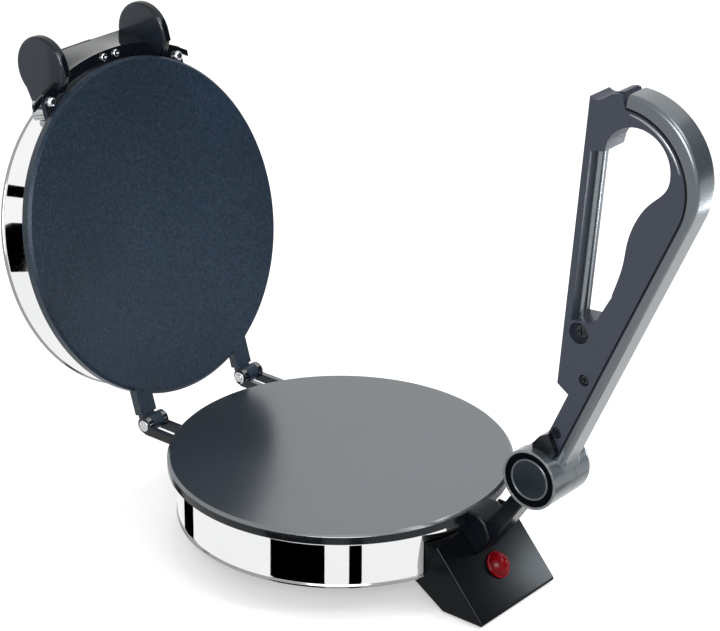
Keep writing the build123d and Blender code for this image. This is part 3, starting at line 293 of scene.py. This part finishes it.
def bump(nodes, links, shader, height, strength, distance):
    """Bump on the shader from a height socket; distance is in metres."""
    node = nodes.new("ShaderNodeBump")
    node.inputs["Strength"].default_value = strength
    node.inputs["Distance"].default_value = distance
    links.new(height, node.inputs["Height"])
    links.new(node.outputs["Normal"], shader.inputs["Normal"])
    return node


def finish(name, low, high, rough_low, rough_high, metallic=0.0, scale=400.0, bump_strength=0.1,
           bump_distance=0.00005, ior=1.5, coat=0.0, coat_rough=0.05, wear_scale=14.0, level=0.5):
    """General finish: fine grain between two colours, broad patches of roughness and a fine bump."""
    material, nodes, links, shader = new_material(name)
    fine = noise(nodes, links, scale)
    broad = noise(nodes, links, wear_scale, 3.0)
    colour = ramp(nodes, links, fine.outputs["Fac"], [(0.3, low), (0.7, high)])
    links.new(colour.outputs["Color"], shader.inputs["Base Color"])
    rough = ramp(nodes, links, broad.outputs["Fac"], [(0.3, grey(rough_low)), (0.7, grey(rough_high))])
    links.new(rough.outputs["Color"], shader.inputs["Roughness"])
    shader.inputs["Metallic"].default_value = metallic
    shader.inputs["IOR"].default_value = ior
    shader.inputs["Specular IOR Level"].default_value = level
    if metallic < bare_metal:
        shader.inputs["Specular Tint"].default_value = (*cool_gloss, 1.0)
    shader.inputs["Coat Weight"].default_value = coat
    shader.inputs["Coat Roughness"].default_value = coat_rough
    bump(nodes, links, shader, fine.outputs["Fac"], bump_strength, bump_distance)
    return material


# ---------------------------------------------------------------- finishes

def coated_plate(name, low, high, rough_low, rough_high, ior, level, tint):
    """Non-stick coating: mottled charcoal with pale specks, and a fine pebbled bump."""
    material, nodes, links, shader = new_material(name)
    mottle = noise(nodes, links, 420.0, 5.0, 0.7)
    speck = noise(nodes, links, 900.0, 2.0, 0.5)
    base = ramp(nodes, links, mottle.outputs["Fac"], [(0.35, low), (0.65, high)])
    dots = ramp(nodes, links, speck.outputs["Fac"], [(0.62, grey(0.0)), (0.72, grey(0.09))])
    mix = nodes.new("ShaderNodeMix")
    mix.data_type = "RGBA"
    mix.blend_type = "ADD"
    mix.inputs["Factor"].default_value = 0.35
    cloud = noise(nodes, links, 7.0, 2.0)
    shade = ramp(nodes, links, cloud.outputs["Fac"], [(0.32, grey(0.68)), (0.68, (1.25, 1.27, 1.30))])
    toned = nodes.new("ShaderNodeMix")
    toned.data_type = "RGBA"
    toned.blend_type = "MULTIPLY"
    toned.inputs["Factor"].default_value = 1.0
    links.new(base.outputs["Color"], toned.inputs["A"])
    links.new(shade.outputs["Color"], toned.inputs["B"])
    links.new(toned.outputs["Result"], mix.inputs["A"])
    links.new(dots.outputs["Color"], mix.inputs["B"])
    links.new(mix.outputs["Result"], shader.inputs["Base Color"])
    broad = noise(nodes, links, 9.0, 3.0)
    rough = ramp(nodes, links, broad.outputs["Fac"], [(0.3, grey(rough_low)), (0.7, grey(rough_high))])
    links.new(rough.outputs["Color"], shader.inputs["Roughness"])
    shader.inputs["IOR"].default_value = ior
    shader.inputs["Specular IOR Level"].default_value = level
    shader.inputs["Specular Tint"].default_value = (*tint, 1.0)
    bump(nodes, links, shader, speck.outputs["Fac"], 0.25, 0.00012)
    return material


def polished_steel(name, rough_low=0.03, rough_high=0.05, tone=0.93):
    """Mirror polished sheet with faint polishing lines round it and a few dull patches."""
    material, nodes, links, shader = new_material(name)
    lines = noise(nodes, links, 260.0, 3.0, 0.6, (0.15, 0.15, 1.0))
    broad = noise(nodes, links, 18.0, 3.0)
    low, high = (tone * 0.97, tone * 0.975, tone * 0.985), grey(tone)
    colour = ramp(nodes, links, broad.outputs["Fac"], [(0.3, low), (0.7, high)])
    links.new(colour.outputs["Color"], shader.inputs["Base Color"])
    rough = ramp(nodes, links, broad.outputs["Fac"], [(0.3, grey(rough_low)), (0.7, grey(rough_high))])
    links.new(rough.outputs["Color"], shader.inputs["Roughness"])
    shader.inputs["Metallic"].default_value = 1.0
    bump(nodes, links, shader, lines.outputs["Fac"], 0.02, 0.00002)
    return material


def red_lens(name):
    """Moulded red lens: clear coat over a deep, slightly glowing red."""
    material, nodes, links, shader = new_material(name)
    cloud = noise(nodes, links, 220.0, 3.0)
    deep, bright = (0.15, 0.001, 0.004), (0.24, 0.003, 0.009)
    colour = ramp(nodes, links, cloud.outputs["Fac"], [(0.35, deep), (0.7, bright)])
    links.new(colour.outputs["Color"], shader.inputs["Base Color"])
    rough = ramp(nodes, links, cloud.outputs["Fac"], [(0.3, grey(0.12)), (0.7, grey(0.2))])
    links.new(rough.outputs["Color"], shader.inputs["Roughness"])
    shader.inputs["Subsurface Weight"].default_value = 0.2
    shader.inputs["Subsurface Scale"].default_value = 0.003
    shader.inputs["Specular IOR Level"].default_value = 0.05
    shader.inputs["Coat Weight"].default_value = 0.12
    shader.inputs["Coat Roughness"].default_value = 0.04
    return material


# coatings: darkest and palest colour, roughness from and to, IOR, specular level, tint of the gloss
lower_coating = coated_plate("lower_coating", (0.007, 0.011, 0.016), (0.014, 0.020, 0.028),
                             0.17, 0.23, 2.4, 0.62, cool_gloss)
# darker, less glossy copy of the lower coating for the plate's skirt: painted shade on its side faces
skirt_painted_shade = coated_plate("skirt_painted_shade", (0.002, 0.003, 0.005), (0.005, 0.007, 0.010),
                             0.14, 0.20, 1.5, 0.35, cool_gloss)
upper_coating = coated_plate("upper_coating", (0.004, 0.011, 0.023), (0.014, 0.027, 0.047),
                             0.36, 0.44, 1.5, 0.22, blue_gloss)
# paler, glossier copy of the upper coating for the plate's rim: painted sheen on its side faces
rim_painted_sheen = coated_plate("rim_painted_sheen", (0.014, 0.022, 0.034), (0.028, 0.042, 0.060),
                           0.25, 0.32, 1.5, 0.4, blue_gloss)
bright_steel = polished_steel("bright_steel")
# rolled beads: rougher steel, and its low tone is painted shade along the bead
bead_steel_painted_shade = polished_steel("bead_steel_painted_shade", 0.10, 0.16, 0.34)
cover_steel = polished_steel("cover_steel", 0.26, 0.34, 0.8)

# finishes: darkest and palest colour, roughness from and to, metallic, scale of the grain, bump
rod_steel = finish("rod_steel", (0.20, 0.225, 0.24), (0.27, 0.30, 0.32), 0.22, 0.30, 0.9, 700.0)
zinc_steel = finish("zinc_steel", (0.52, 0.53, 0.55), (0.62, 0.63, 0.65), 0.14, 0.24, 1.0, 700.0)
dark_screw = finish("dark_screw", (0.02, 0.022, 0.026), (0.04, 0.043, 0.05), 0.3, 0.4, 0.6, 700.0)
element_steel = finish("element_steel", (0.16, 0.15, 0.14), (0.24, 0.21, 0.18), 0.4, 0.55, 0.9, 300.0)
pressed_steel = finish("pressed_steel", (0.42, 0.42, 0.43), (0.5, 0.5, 0.51), 0.3, 0.45, 1.0, 300.0)
black_steel = finish("black_steel", (0.010, 0.010, 0.011), (0.016, 0.016, 0.018),
                     0.35, 0.45, 0.0, 500.0, 0.15, level=0.3)
black_casting = finish("black_casting", (0.003, 0.004, 0.007), (0.005, 0.007, 0.011),
                       0.16, 0.24, 0.0, 350.0, 0.10, level=0.18)
gloss_black = finish("gloss_black", (0.0035, 0.0045, 0.007), (0.005, 0.0065, 0.010),
                     0.07, 0.12, 0.0, 900.0, 0.03, 0.00003, level=0.38)
housing_black = finish("housing_black", (0.0008, 0.0012, 0.002), (0.0014, 0.0022, 0.0035),
                       0.16, 0.22, 0.0, 900.0, 0.04, 0.00003, level=0.12)
satin_black = finish("satin_black", (0.006, 0.009, 0.012), (0.010, 0.014, 0.019),
                     0.26, 0.34, 0.0, 900.0, 0.12, level=0.25)
ear_black = finish("ear_black", (0.006, 0.010, 0.020), (0.011, 0.017, 0.032),
                   0.30, 0.38, 0.0, 900.0, 0.05, 0.00003, 1.5, 0.35, 0.05, level=0.35)
cap_disc = finish("cap_disc", (0.009, 0.015, 0.022), (0.014, 0.022, 0.031),
                  0.22, 0.30, 0.0, 900.0, 0.12, level=0.22)
cap_ring = finish("cap_ring", (0.0008, 0.0012, 0.002), (0.0016, 0.0024, 0.004),
                  0.3, 0.38, 0.0, 900.0, 0.05, level=0.03)
# pale line round a cap's disc: a painted highlight on the disc's rim
cap_painted_highlight = finish("cap_painted_highlight", (0.10, 0.12, 0.14), (0.15, 0.17, 0.19),
                  0.18, 0.25, 0.3, 900.0, 0.05, level=0.5)
slate_plastic = finish("slate_plastic", (0.034, 0.040, 0.060), (0.048, 0.056, 0.080),
                       0.30, 0.40, 0.0, 1100.0, 0.2, level=0.4)
silver_lacquer = finish("silver_lacquer", (0.060, 0.075, 0.088), (0.078, 0.095, 0.110),
                        0.24, 0.30, 0.25, 1500.0, 0.04, 0.00002, 1.7, 1.0, 0.20)
# pale lacquer on the barrel's left end; the same pale finish on the grip's parting bead is a painted
# highlight
rim_lacquer_and_painted_highlight = finish("rim_lacquer_and_painted_highlight", (0.30, 0.32, 0.34), (0.38, 0.40, 0.42),
                     0.16, 0.22, 0.5, 1500.0, 0.04, 0.00002)
foot_rubber = finish("foot_rubber", (0.008, 0.008, 0.008), (0.015, 0.015, 0.015),
                     0.6, 0.75, 0.0, 600.0, 0.2, level=0.3)
white_ceramic = finish("white_ceramic", (0.72, 0.70, 0.65), (0.8, 0.78, 0.73), 0.25, 0.35, 0.0, 500.0)
neon_glass = finish("neon_glass", (0.5, 0.12, 0.06), (0.6, 0.18, 0.09), 0.08, 0.12, 0.0, 300.0)
lens_red = red_lens("lens_red")

finish_of_node = {
    "lower_plate": lower_coating,
    "upper_plate": upper_coating,
    "base_band": bright_steel,
    "lid_band": bright_steel,
    "lid_cover": cover_steel,
    "bottom_pan": black_steel,
    "lower_element": element_steel,
    "upper_element": element_steel,
    "lower_element_clamp": pressed_steel,
    "upper_element_clamp": pressed_steel,
    "base_heat_shield": pressed_steel,
    "lid_heat_shield": pressed_steel,
    "feet": foot_rubber,
    "terminal_housing": housing_black,
    "housing_cover": satin_black,
    "terminal_block": white_ceramic,
    "lamp_lens": lens_red,
    "neon_lamp": neon_glass,
    "cord_inlet": foot_rubber,
    "front_bracket": black_casting,
    "lid_bracket": gloss_black,
    "press_pad": satin_black,
    "lever_hub": silver_lacquer,
    "hub_cap_left": satin_black,
    "hub_cap_right": satin_black,
    "lever_collar": gloss_black,
    "lever_grip": slate_plastic,
    "lever_cover_strip": silver_lacquer,
    "lever_screws": dark_screw,
    "lever_rod": rod_steel,
}


def finish_for(node_name):
    """A node's finish: what the table leaves out, mostly screws, pins and pillars, is zinc plated."""
    return finish_of_node.get(node_name, zinc_steel)


for node_name, node in frame["nodes"].items():
    node.data.materials.clear()
    node.data.materials.append(finish_for(node_name))


# ---------------------------------------------------------------- steel bands

def band_profile(height):
    """Section of a band, (radius, distance from the web): flange, rounded shoulder, swage line,
    straight wall, crease and rolled bead, then back up the inside. The wall has rows close to its
    bends, so that its shading stays level."""
    outer, inner, low = band_radius, band_radius - band_sheet, height - band_bead
    flange, shoulder, bend = 0.0030, 0.0012, 0.0011
    bead_overhang, crease = 0.0006, 0.0003
    swage_middle, swage_half, swage_depth = 0.0050, 0.0005, 0.00022
    across = np.array([-1.0, -0.5, 0.0, 0.5, 1.0])
    fall = np.array([0.0, 0.8, 1.0, 0.8, 0.0])
    swage = np.stack([outer - swage_depth * fall, swage_middle + swage_half * across], -1)
    return np.vstack([
        [[inner - flange, 0.0]],
        arc((outer - shoulder, shoulder), shoulder, -90, 0, 7),
        [[outer, shoulder + 0.0006], [outer, swage_middle - 0.0010]],
        swage,
        [[outer, swage_middle + 0.0012], [outer, swage_middle + 0.0018], [outer, low - 0.0034],
         [outer, low - 0.0028], [outer, low - 0.0021], [outer - crease, low - 0.0014]],
        arc((outer - band_bead + bead_overhang, low), band_bead, -48, 190, 30),
        [[inner, low - 0.0016], [inner, band_sheet + bend]],
        arc((inner - bend, band_sheet + bend), bend, 0, -90, 5),
        [[inner - flange, band_sheet]],
    ])


def make_band(name, node_name, height, web, up, place):
    """Turns a band's section round the plate's axis from the web's height, up = 1 or -1."""
    segments, painted_shade_depth = 320, 0.0033
    profile = band_profile(height)
    section = np.stack([profile[:, 0], web + up * profile[:, 1]], -1)
    points, faces = turned_ring(section, segments)
    piece = stands_for(mesh_object(name, place(points), faces), bright_steel, node_name)
    depth = profile[np.repeat(np.arange(len(profile)), segments), 1]
    # faces near the bead take the darker steel: painted shade along the rolled edge
    add_finishes(piece, depth > profile[:, 1].max() - painted_shade_depth, bead_steel_painted_shade)


def in_place(points):
    """Points left where they are."""
    return points


make_band("base_band_rolled", "base_band", base_band_height, lower_web, -1, in_place)
make_band("lid_band_rolled", "lid_band", lid_band_height, upper_web, 1, opened)


# ---------------------------------------------------------------- lens and hub caps

def lens_profile():
    """Half section of the lens on its axis: crown, shoulder, rim ring, flange, neck and its end."""
    rim, rim_edge, crown_share = 0.00875, 0.0005, 0.955
    neck, neck_end, neck_chamfer = 0.0064, -0.0090, 0.0003
    ball = (lens_radius ** 2 + lens_rise ** 2) / (2 * lens_rise)
    crown_r = crown_share * lens_radius * np.linspace(0, 1, 26)
    crown_h = lens_flange + lens_rise - ball + np.sqrt(ball ** 2 - crown_r ** 2)
    return np.vstack([
        np.stack([crown_r, crown_h], -1),
        [[lens_radius - 0.00022, lens_flange + 0.0007], [lens_radius - 0.0001, lens_flange + 0.0003]],
        arc((rim - rim_edge, lens_flange - 0.0003), rim_edge, 100, 0, 8),
        [[rim, 0.0002], [rim - 0.00003, 0.0], [neck, 0.0], [neck, neck_end + 0.0002],
         [neck - neck_chamfer, neck_end], [0.0, neck_end]],
    ])


def make_lens():
    """The lens on the housing's sloping face."""
    points, faces, fans = turned_body(lens_profile(), segments=96)
    slope_y, slope_z = housing_slope
    points = on_axes(points, lens_place, (1, 0, 0), (0.0, slope_z, -slope_y), (0.0, slope_y, slope_z))
    stands_for(mesh_object("lamp_lens_moulded", points, faces, fans=fans), lens_red, "lamp_lens")


def cap_profile(radius, disc):
    """Half section of a hub cap, outer face up: domed disc, rim of the disc pale with a painted
    highlight, sunk ring, wall.
    """
    crest, dome, edge, step = 0.01935, 0.00055, 0.0004, 0.0001
    across = np.linspace(0, 1, 20)
    return np.vstack([
        np.stack([(disc - 0.0011) * across, crest - dome * across ** 2], -1),
        [[disc - 0.0008, crest - 0.0008]],
        arc((disc - 0.0002, cap_face + 0.00042), edge, 170, 10, 8),
        [[disc + 0.0004, cap_face + step], [disc + 0.0008, cap_face]],
        [[radius - 0.0014, cap_face + step]],
        arc((radius - edge, cap_face), edge, 120, 0, 6),
        [[radius, cap_back + step], [radius - step, cap_back], [0.0, cap_back]],
    ])


def make_cap(name, node_name, side, radius, disc):
    """A cap on the hub's left (side = -1) or right (side = 1) end, with its disc in a finish of its own
    and a pale line round the disc that is a painted highlight."""
    points, faces, fans = turned_body(cap_profile(radius, disc), segments=128)
    points = on_axes(points, (0.0, pivot_y, pivot_z), (0, 1, 0), (0, 0, 1), (side, 0, 0))
    piece = stands_for(mesh_object(name, points, faces, fans=fans), cap_ring, node_name)
    middles = np.empty(len(piece.data.polygons) * 3)
    piece.data.polygons.foreach_get("center", middles)
    x, y, z = middles.reshape(-1, 3).T
    reach = np.hypot(y - pivot_y, z - pivot_z)
    disc_edge, highlight_edge, below_face = disc - 0.0009, disc + 0.0003, 0.0003
    outside = side * x > cap_face - below_face
    # faces round the disc's edge take the pale finish: a painted highlight
    on_disc, on_highlight = outside & (reach < disc_edge), outside & (reach < highlight_edge)
    add_finishes(piece, np.where(on_disc, 1, np.where(on_highlight, 2, 0)), cap_disc, cap_painted_highlight)


make_lens()
make_cap("hub_cap_left_turned", "hub_cap_left", -1, left_cap_radius, left_cap_disc)
make_cap("hub_cap_right_turned", "hub_cap_right", 1, right_cap_radius, right_cap_disc)


# ---------------------------------------------------------------- softened edges

# rounding of the edges of each node that is shown as a softened copy
softened = {
    "terminal_housing": 0.0007,
    "lever_grip": 0.0005,
    "lever_collar": 0.0006,
    "lid_bracket": 0.0004,
    "front_bracket": 0.0005,
    "upper_plate": 0.0006,
    "lower_plate": 0.0006,
    "press_pad": 0.0004,
    "lid_cover": 0.0008,
    "bottom_pan": 0.0004,
    "lever_rod": 0.0003,
    "hinge_pins": 0.00025,
    "hinge_pin_clips": 0.0002,
    "ear_screws": 0.0002,
    "cord_inlet": 0.0003,
}


def softened_copy(node_name, width):
    """A copy of a node with rounded edges, in the node's place and finish."""
    copy = soften(merged_copy(node_name + "_softened", node_name), width)
    return stands_for(copy, finish_for(node_name), node_name)


copies = {node_name: softened_copy(node_name, width) for node_name, width in softened.items()}
normals = {node_name: face_normals(copy) for node_name, copy in copies.items()}

cooking_face = 0.7            # cosine to a plate's axis below which a face is skirt or rim
ear_side = 0.9                # cosine to the hinge's axis from which a face is an ear's flat side
lid_turn = np.radians(-open_angle)
upper_axis = np.array([0.0, np.sin(lid_turn), -np.cos(lid_turn)])    # the way the lid's plate looks
# the lower plate's side faces take the darker copy: painted shade
add_finishes(copies["lower_plate"], normals["lower_plate"][:, 2] < cooking_face, skirt_painted_shade)
# the upper plate's side faces take the paler copy: painted sheen
add_finishes(copies["upper_plate"], normals["upper_plate"] @ upper_axis < cooking_face, rim_painted_sheen)
add_finishes(copies["lid_bracket"], np.abs(normals["lid_bracket"][:, 0]) > ear_side, ear_black)


# ---------------------------------------------------------------- cover strip, bead and barrel

def along_arm(along, outward):
    """(y, z) of points so far up the leaning arm from the pivot, and so far to its outer side."""
    lean = np.radians(arm_lean)
    return np.stack([pivot_y - along * np.sin(lean) - outward * np.cos(lean),
                     pivot_z + along * np.cos(lean) - outward * np.sin(lean)], -1)


def on_circle(middle, radius, turn):
    """Points of an arc about (y, z): middle + radius (cos turn, sin turn), for a column of turns."""
    return middle + radius * np.hstack([np.cos(turn), np.sin(turn)])


bow_inner_middle = along_arm(bow_inner_station, strip_inner - bow_inner_radius)
bow_outer_middle = along_arm(bow_outer_station, bow_outer_side)


def strip_lines():
    """Inner and outer line of the cover strip from the bow's top end down to the barrel, (y, z):
    arcs round the bow, straight lines down the arm, then a hollow arc beside a last straight run."""
    inner_top, outer_top, low = np.radians([92.0, 89.5, 180.0 + arm_lean])
    k = np.linspace(0, 1, 57)[:, None]
    bow_in = on_circle(bow_inner_middle, bow_inner_radius, inner_top + (low - inner_top) * k)
    bow_out = on_circle(bow_outer_middle, bow_outer_radius, outer_top + (low - outer_top) * k)
    k = np.array([0.01, 0.03, 0.1, 0.3, 0.5, 0.7, 0.9, 0.97, 0.99])
    arm_in = along_arm(bow_inner_station + (hollow_station - bow_inner_station) * k, strip_inner + 0 * k)
    arm_out = along_arm(bow_outer_station + (hollow_station - bow_outer_station) * k, strip_outer + 0 * k)
    k = np.linspace(0, 1, 14)
    turn = np.radians(-90.0 - hollow_turn * k)
    root_in = along_arm(hollow_station - hollow_inner_drop * k, strip_inner + 0 * k)
    root_out = along_arm(hollow_station + hollow_radius * np.cos(turn),
                         strip_outer + hollow_radius + hollow_radius * np.sin(turn))
    return np.vstack([bow_in, arm_in, root_in]), np.vstack([bow_out, arm_out, root_out])


def swept_body(name, grid):
    """A closed body from a (stations, corners, 3) grid of sections, with a flat fan on each end."""
    stations, corners = grid.shape[:2]
    j = np.arange(1, corners - 1)
    near = np.stack([0 * j, j + 1, j], -1)
    ends = np.vstack([near, near[:, ::-1] + (stations - 1) * corners])
    return mesh_object(name, grid.reshape(-1, 3), grid_faces(stations, corners, closed_columns=True),
                       fans=ends)


def make_cover_strip():
    """Cover strip: at each station the section (x, h) runs up one side, over two quarter ellipses
    (+-(w - e + e cos c), d - f + f sin c) to the outer face, and down the other side."""
    inner, outer = strip_lines()
    depth = np.linalg.norm(outer - inner, axis=1)[:, None]
    outward = (outer - inner) / depth
    half, ease, fall = arm_half_width, 0.0030, 0.0027
    c = np.linspace(0, np.pi / 2, 9)
    side, rise = half - ease + ease * np.cos(c), -fall + fall * np.sin(c)
    x = np.concatenate([[-half], -side, side[::-1], [half]])
    height = np.hstack([0 * depth, depth + np.concatenate([rise, rise[::-1]]), 0 * depth])
    y = inner[:, :1] + outward[:, :1] * height
    z = inner[:, 1:] + outward[:, 1:] * height
    return swept_body("lever_cover_strip_swept", np.stack([np.broadcast_to(x, y.shape), y, z], -1))


def make_parting_bead():
    """Fine raised bead on the grip's side along the bow: an arc c + r (cos a, sin a), with the
    section (-h cos b, w sin b) thinned at both ends by sin(pi k) ** 0.4. Its pale finish is a painted
    highlight."""
    bead_radius, half_width, height = 0.0402, 0.00085, 0.00055
    first, sweep = 95.0, 66.0
    k = np.linspace(0, 1, 60)[:, None]
    turn = np.radians(first + sweep * k)
    taper = np.sin(np.pi * np.clip(k, 0.002, 0.998)) ** 0.4
    b = np.linspace(0, 2 * np.pi, 13)[:-1]
    radius = bead_radius + half_width * taper * np.sin(b)
    x = -arm_half_width - height * taper * np.cos(b)
    y, z = bow_inner_middle[0] + radius * np.cos(turn), bow_inner_middle[1] + radius * np.sin(turn)
    return swept_body("grip_parting_bead", np.stack([x, y, z], -1))


stands_for(soften(make_cover_strip(), width=0.0003), silver_lacquer, "lever_cover_strip")
parting_bead = make_parting_bead()
# the bead's pale finish is a painted highlight along the grip's edge
parting_bead.data.materials.append(rim_lacquer_and_painted_highlight)
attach(parting_bead, "lever")

barrel_end = 0.95             # cosine to the pivot's axis from which a face is the barrel's left end
hub = softened_copy("lever_hub", width=0.0005)
add_finishes(hub, face_normals(hub)[:, 0] < -barrel_end, rim_lacquer_and_painted_highlight)


# ---------------------------------------------------------------- stage

card_height = 0.0006          # of cards that lie on the floor, above it
floor_in_gloss = 0.95         # how white the floor is to a reflection
floor_lift = 0.42             # light added to the floor that the camera sees
ambient_light = 0.62          # of the white surround, where it lights the object
level_sight = (0.774, 0.633)  # heading (x, y) of the camera's sight line on the base band


def glow(nodes, colour, strength=1.0):
    """Shader socket that gives off a colour."""
    node = nodes.new("ShaderNodeEmission")
    node.inputs["Color"].default_value = (*colour, 1.0)
    node.inputs["Strength"].default_value = strength
    return node.outputs["Emission"]


def mixed(nodes, links, share, first, second):
    """Shader socket that is the first shader where the share is 0, and the second where it is 1."""
    node = nodes.new("ShaderNodeMixShader")
    links.new(share, node.inputs["Fac"])
    links.new(first, node.inputs[1])
    links.new(second, node.inputs[2])
    return node.outputs["Shader"]


def larger(nodes, links, first, second):
    """Value socket with the larger of two values."""
    node = nodes.new("ShaderNodeMath")
    node.operation = "MAXIMUM"
    links.new(first, node.inputs[0])
    links.new(second, node.inputs[1])
    return node.outputs["Value"]


def flag(name, corners, strength=0.0, tone=(1.0, 1.0, 1.0)):
    """Flat four-cornered studio flag or glow card, seen by gloss alone."""
    piece = mesh_object(name, corners, np.array([[0, 1, 2, 3]]), smooth=False)
    material, nodes, links, shader = new_material(name)
    nodes.remove(shader)
    links.new(glow(nodes, tone, strength), nodes["Material Output"].inputs["Surface"])
    piece.data.materials.append(material)
    piece.visible_camera = False
    piece.visible_diffuse = False
    piece.visible_shadow = False
    piece.visible_transmission = False


def upright(centre, facing, half_width, low, high):
    """Corners of a card that stands upright at centre (x, y) and faces the heading, in degrees."""
    a = np.radians(facing)
    side = half_width * np.array([-np.sin(a), np.cos(a)])
    left, right = np.asarray(centre) - side, np.asarray(centre) + side
    return [(*left, low), (*right, low), (*right, high), (*left, high)]


def spanned(centre, right, up):
    """Corners of a card about its centre, from its two half sides."""
    centre, right, up = np.array(centre), np.array(right), np.array(up)
    return [centre - right - up, centre + right - up, centre + right + up, centre - right + up]


def on_floor(*places):
    """Corners just above the floor at places (x, y)."""
    return [(x, y, floor_z + card_height) for x, y in places]


def band_flag(name, start, end, reach=0.12):
    """Dark flag flat on the floor in front of the base band, between two azimuths. Its sides run
    along the mirror direction v - 2 (v . n) n of a level sight line v, so that it makes an even
    upright block in the polished wall."""
    sight, start_gap = np.array(level_sight), 0.0010
    turn = np.radians([start, end])
    wall = np.stack([np.cos(turn), np.sin(turn)], -1)
    away = sight - 2 * (wall @ sight)[:, None] * wall
    near = (band_radius + start_gap) * wall
    far = near + reach * away
    flag(name, on_floor(near[0], far[0], far[1], near[1]))


def floor_white():
    """Matt white that keeps a shadow. Gloss sees it as plain white, and the camera a little lifted."""
    material, nodes, links, shader = new_material("floor_white")
    grain = noise(nodes, links, 3.0, 2.0)
    tone = ramp(nodes, links, grain.outputs["Fac"], [(0.3, grey(0.93)), (0.7, grey(0.95))])
    links.new(tone.outputs["Color"], shader.inputs["Base Color"])
    shader.inputs["Roughness"].default_value = 1.0
    shader.inputs["Specular IOR Level"].default_value = 0.0
    matt = shader.outputs["BSDF"]
    lifted = nodes.new("ShaderNodeAddShader")
    links.new(matt, lifted.inputs[0])
    links.new(glow(nodes, grey(floor_lift)), lifted.inputs[1])
    path = nodes.new("ShaderNodeLightPath").outputs
    indirect = mixed(nodes, links, path["Is Glossy Ray"], matt, glow(nodes, grey(floor_in_gloss)))
    surface = mixed(nodes, links, path["Is Camera Ray"], indirect, lifted.outputs["Shader"])
    links.new(surface, nodes["Material Output"].inputs["Surface"])
    return material


def floor():
    """Pale disc under the object: rings of points about the origin, with a fan in the middle."""
    rings, spokes, inner, reach = 24, 64, 0.02, 9.0
    spoke = np.linspace(0, 2 * np.pi, spokes + 1)[:-1]
    radius, angle = np.meshgrid(np.linspace(inner, reach, rings), spoke, indexing="ij")
    points = np.stack([radius * np.cos(angle), radius * np.sin(angle), np.full_like(radius, floor_z)], -1)
    points = np.vstack([points.reshape(-1, 3), [[0.0, 0.0, floor_z]]])
    first = np.arange(0, spokes, 2)
    middle = np.full(len(first), rings * spokes)
    fan = np.stack([middle, first, first + 1, (first + 2) % spokes], -1)
    faces = np.vstack([grid_faces(rings, spokes, closed_columns=True), fan])
    piece = mesh_object("floor", points, faces, smooth=False)
    piece.data.materials.append(floor_white())


def backdrop_world(ambient):
    """White where it is seen, straight, in gloss or through glass; softer where it lights the object."""
    world = bpy.data.worlds.new("studio")
    bpy.context.scene.world = world
    world.use_nodes = True
    nodes, links = world.node_tree.nodes, world.node_tree.links
    seen, light = nodes["Background"], nodes.new("ShaderNodeBackground")
    for node, strength in ((seen, 1.0), (light, ambient)):
        node.inputs["Color"].default_value = (1, 1, 1, 1)
        node.inputs["Strength"].default_value = strength
    path = nodes.new("ShaderNodeLightPath").outputs
    by_surface = larger(nodes, links, path["Is Glossy Ray"], path["Is Transmission Ray"])
    shown = larger(nodes, links, path["Is Camera Ray"], by_surface)
    surface = mixed(nodes, links, shown, light.outputs["Background"], seen.outputs["Background"])
    links.new(surface, nodes["World Output"].inputs["Surface"])


def looking(place, target, roll=0.0):
    """Matrix of a lamp or camera at a place that looks at a target: its axes are the level way to
    the right and the way up, both turned by the roll in degrees, and the way back from the target."""
    place = np.asarray(place, float)
    back = place - np.asarray(target, float)
    back /= np.linalg.norm(back)
    level = np.cross((0.0, 0.0, 1.0), back)
    level /= np.linalg.norm(level)
    rise, turn = np.cross(back, level), np.radians(roll)
    right, up = level * np.cos(turn) + rise * np.sin(turn), rise * np.cos(turn) - level * np.sin(turn)
    matrix = np.eye(4)
    matrix[:3] = np.stack([right, up, back, place], -1)
    return Matrix(matrix.tolist())


def soft_lamp(name, place, size, power):
    """Square area lamp that looks at the middle of the base."""
    data = bpy.data.lights.new(name, "AREA")
    data.size = size
    data.energy = power
    lamp = bpy.data.objects.new(name, data)
    bpy.context.scene.collection.objects.link(lamp)
    lamp.matrix_world = looking(place, (0.0, 0.0, 0.0))


fill_place = (-1.45, -1.15, 1.15)
floor()
backdrop_world(ambient_light)
soft_lamp("key", (0.9, -1.5, 1.8), size=1.2, power=26.0)
soft_lamp("fill", fill_place, size=0.45, power=8.0)

# where the dark blocks in the base band start and end, as azimuths in degrees
band_blocks = [(148.0, 156.8), (195.0, 214.3), (222.6, 227.0), (28.0, 52.0), (62.0, 66.0),
               (104.0, 112.0), (318.0, 334.0)]
for number, (start, end) in enumerate(band_blocks):
    band_flag("band_flag_%d" % number, start, end)

# upright cards: middle (x, y), the heading they face, half their width, lower and upper edge
flag("lid_band_flag_wide", upright((-0.362, 0.486), 128.0, 0.028, -0.058, 0.140))
flag("lid_band_flag_narrow", upright((-0.288, 0.544), 119.0, 0.032, 0.226, 0.262))
flag("right_flag", upright((0.95, -0.95), -45.0, 0.95, 0.02, 1.15))
flag("housing_glow", upright((0.292, -0.325), -38.0, 0.026, 0.045, 0.115), strength=22.0, tone=cool_gloss)
flag("front_glow", spanned(fill_place, (0.434, -0.546, 0.0), (0.287, 0.231, 0.595)), strength=9.0)
flag("barrel_flag", on_floor((0.05, -0.28), (0.13, -0.33), (0.16, -0.27), (0.08, -0.22)))


# ---------------------------------------------------------------- camera

camera_place = (-1.14633, -0.95346, 0.77762)
camera_target = (0.0145, -0.00367, 0.08996)
camera_roll = 0.271                          # in degrees

view = bpy.data.cameras.new("view")
view.lens = 132.19            # in millimetres, on a sensor as wide as the next line says
view.sensor_width = 36.0
view.sensor_fit = "HORIZONTAL"
view.clip_end = 50.0
camera = bpy.data.objects.new("view", view)
bpy.context.scene.collection.objects.link(camera)
camera.matrix_world = looking(camera_place, camera_target, camera_roll)
bpy.context.scene.camera = camera
bpy.context.scene.view_settings.view_transform = "Standard"
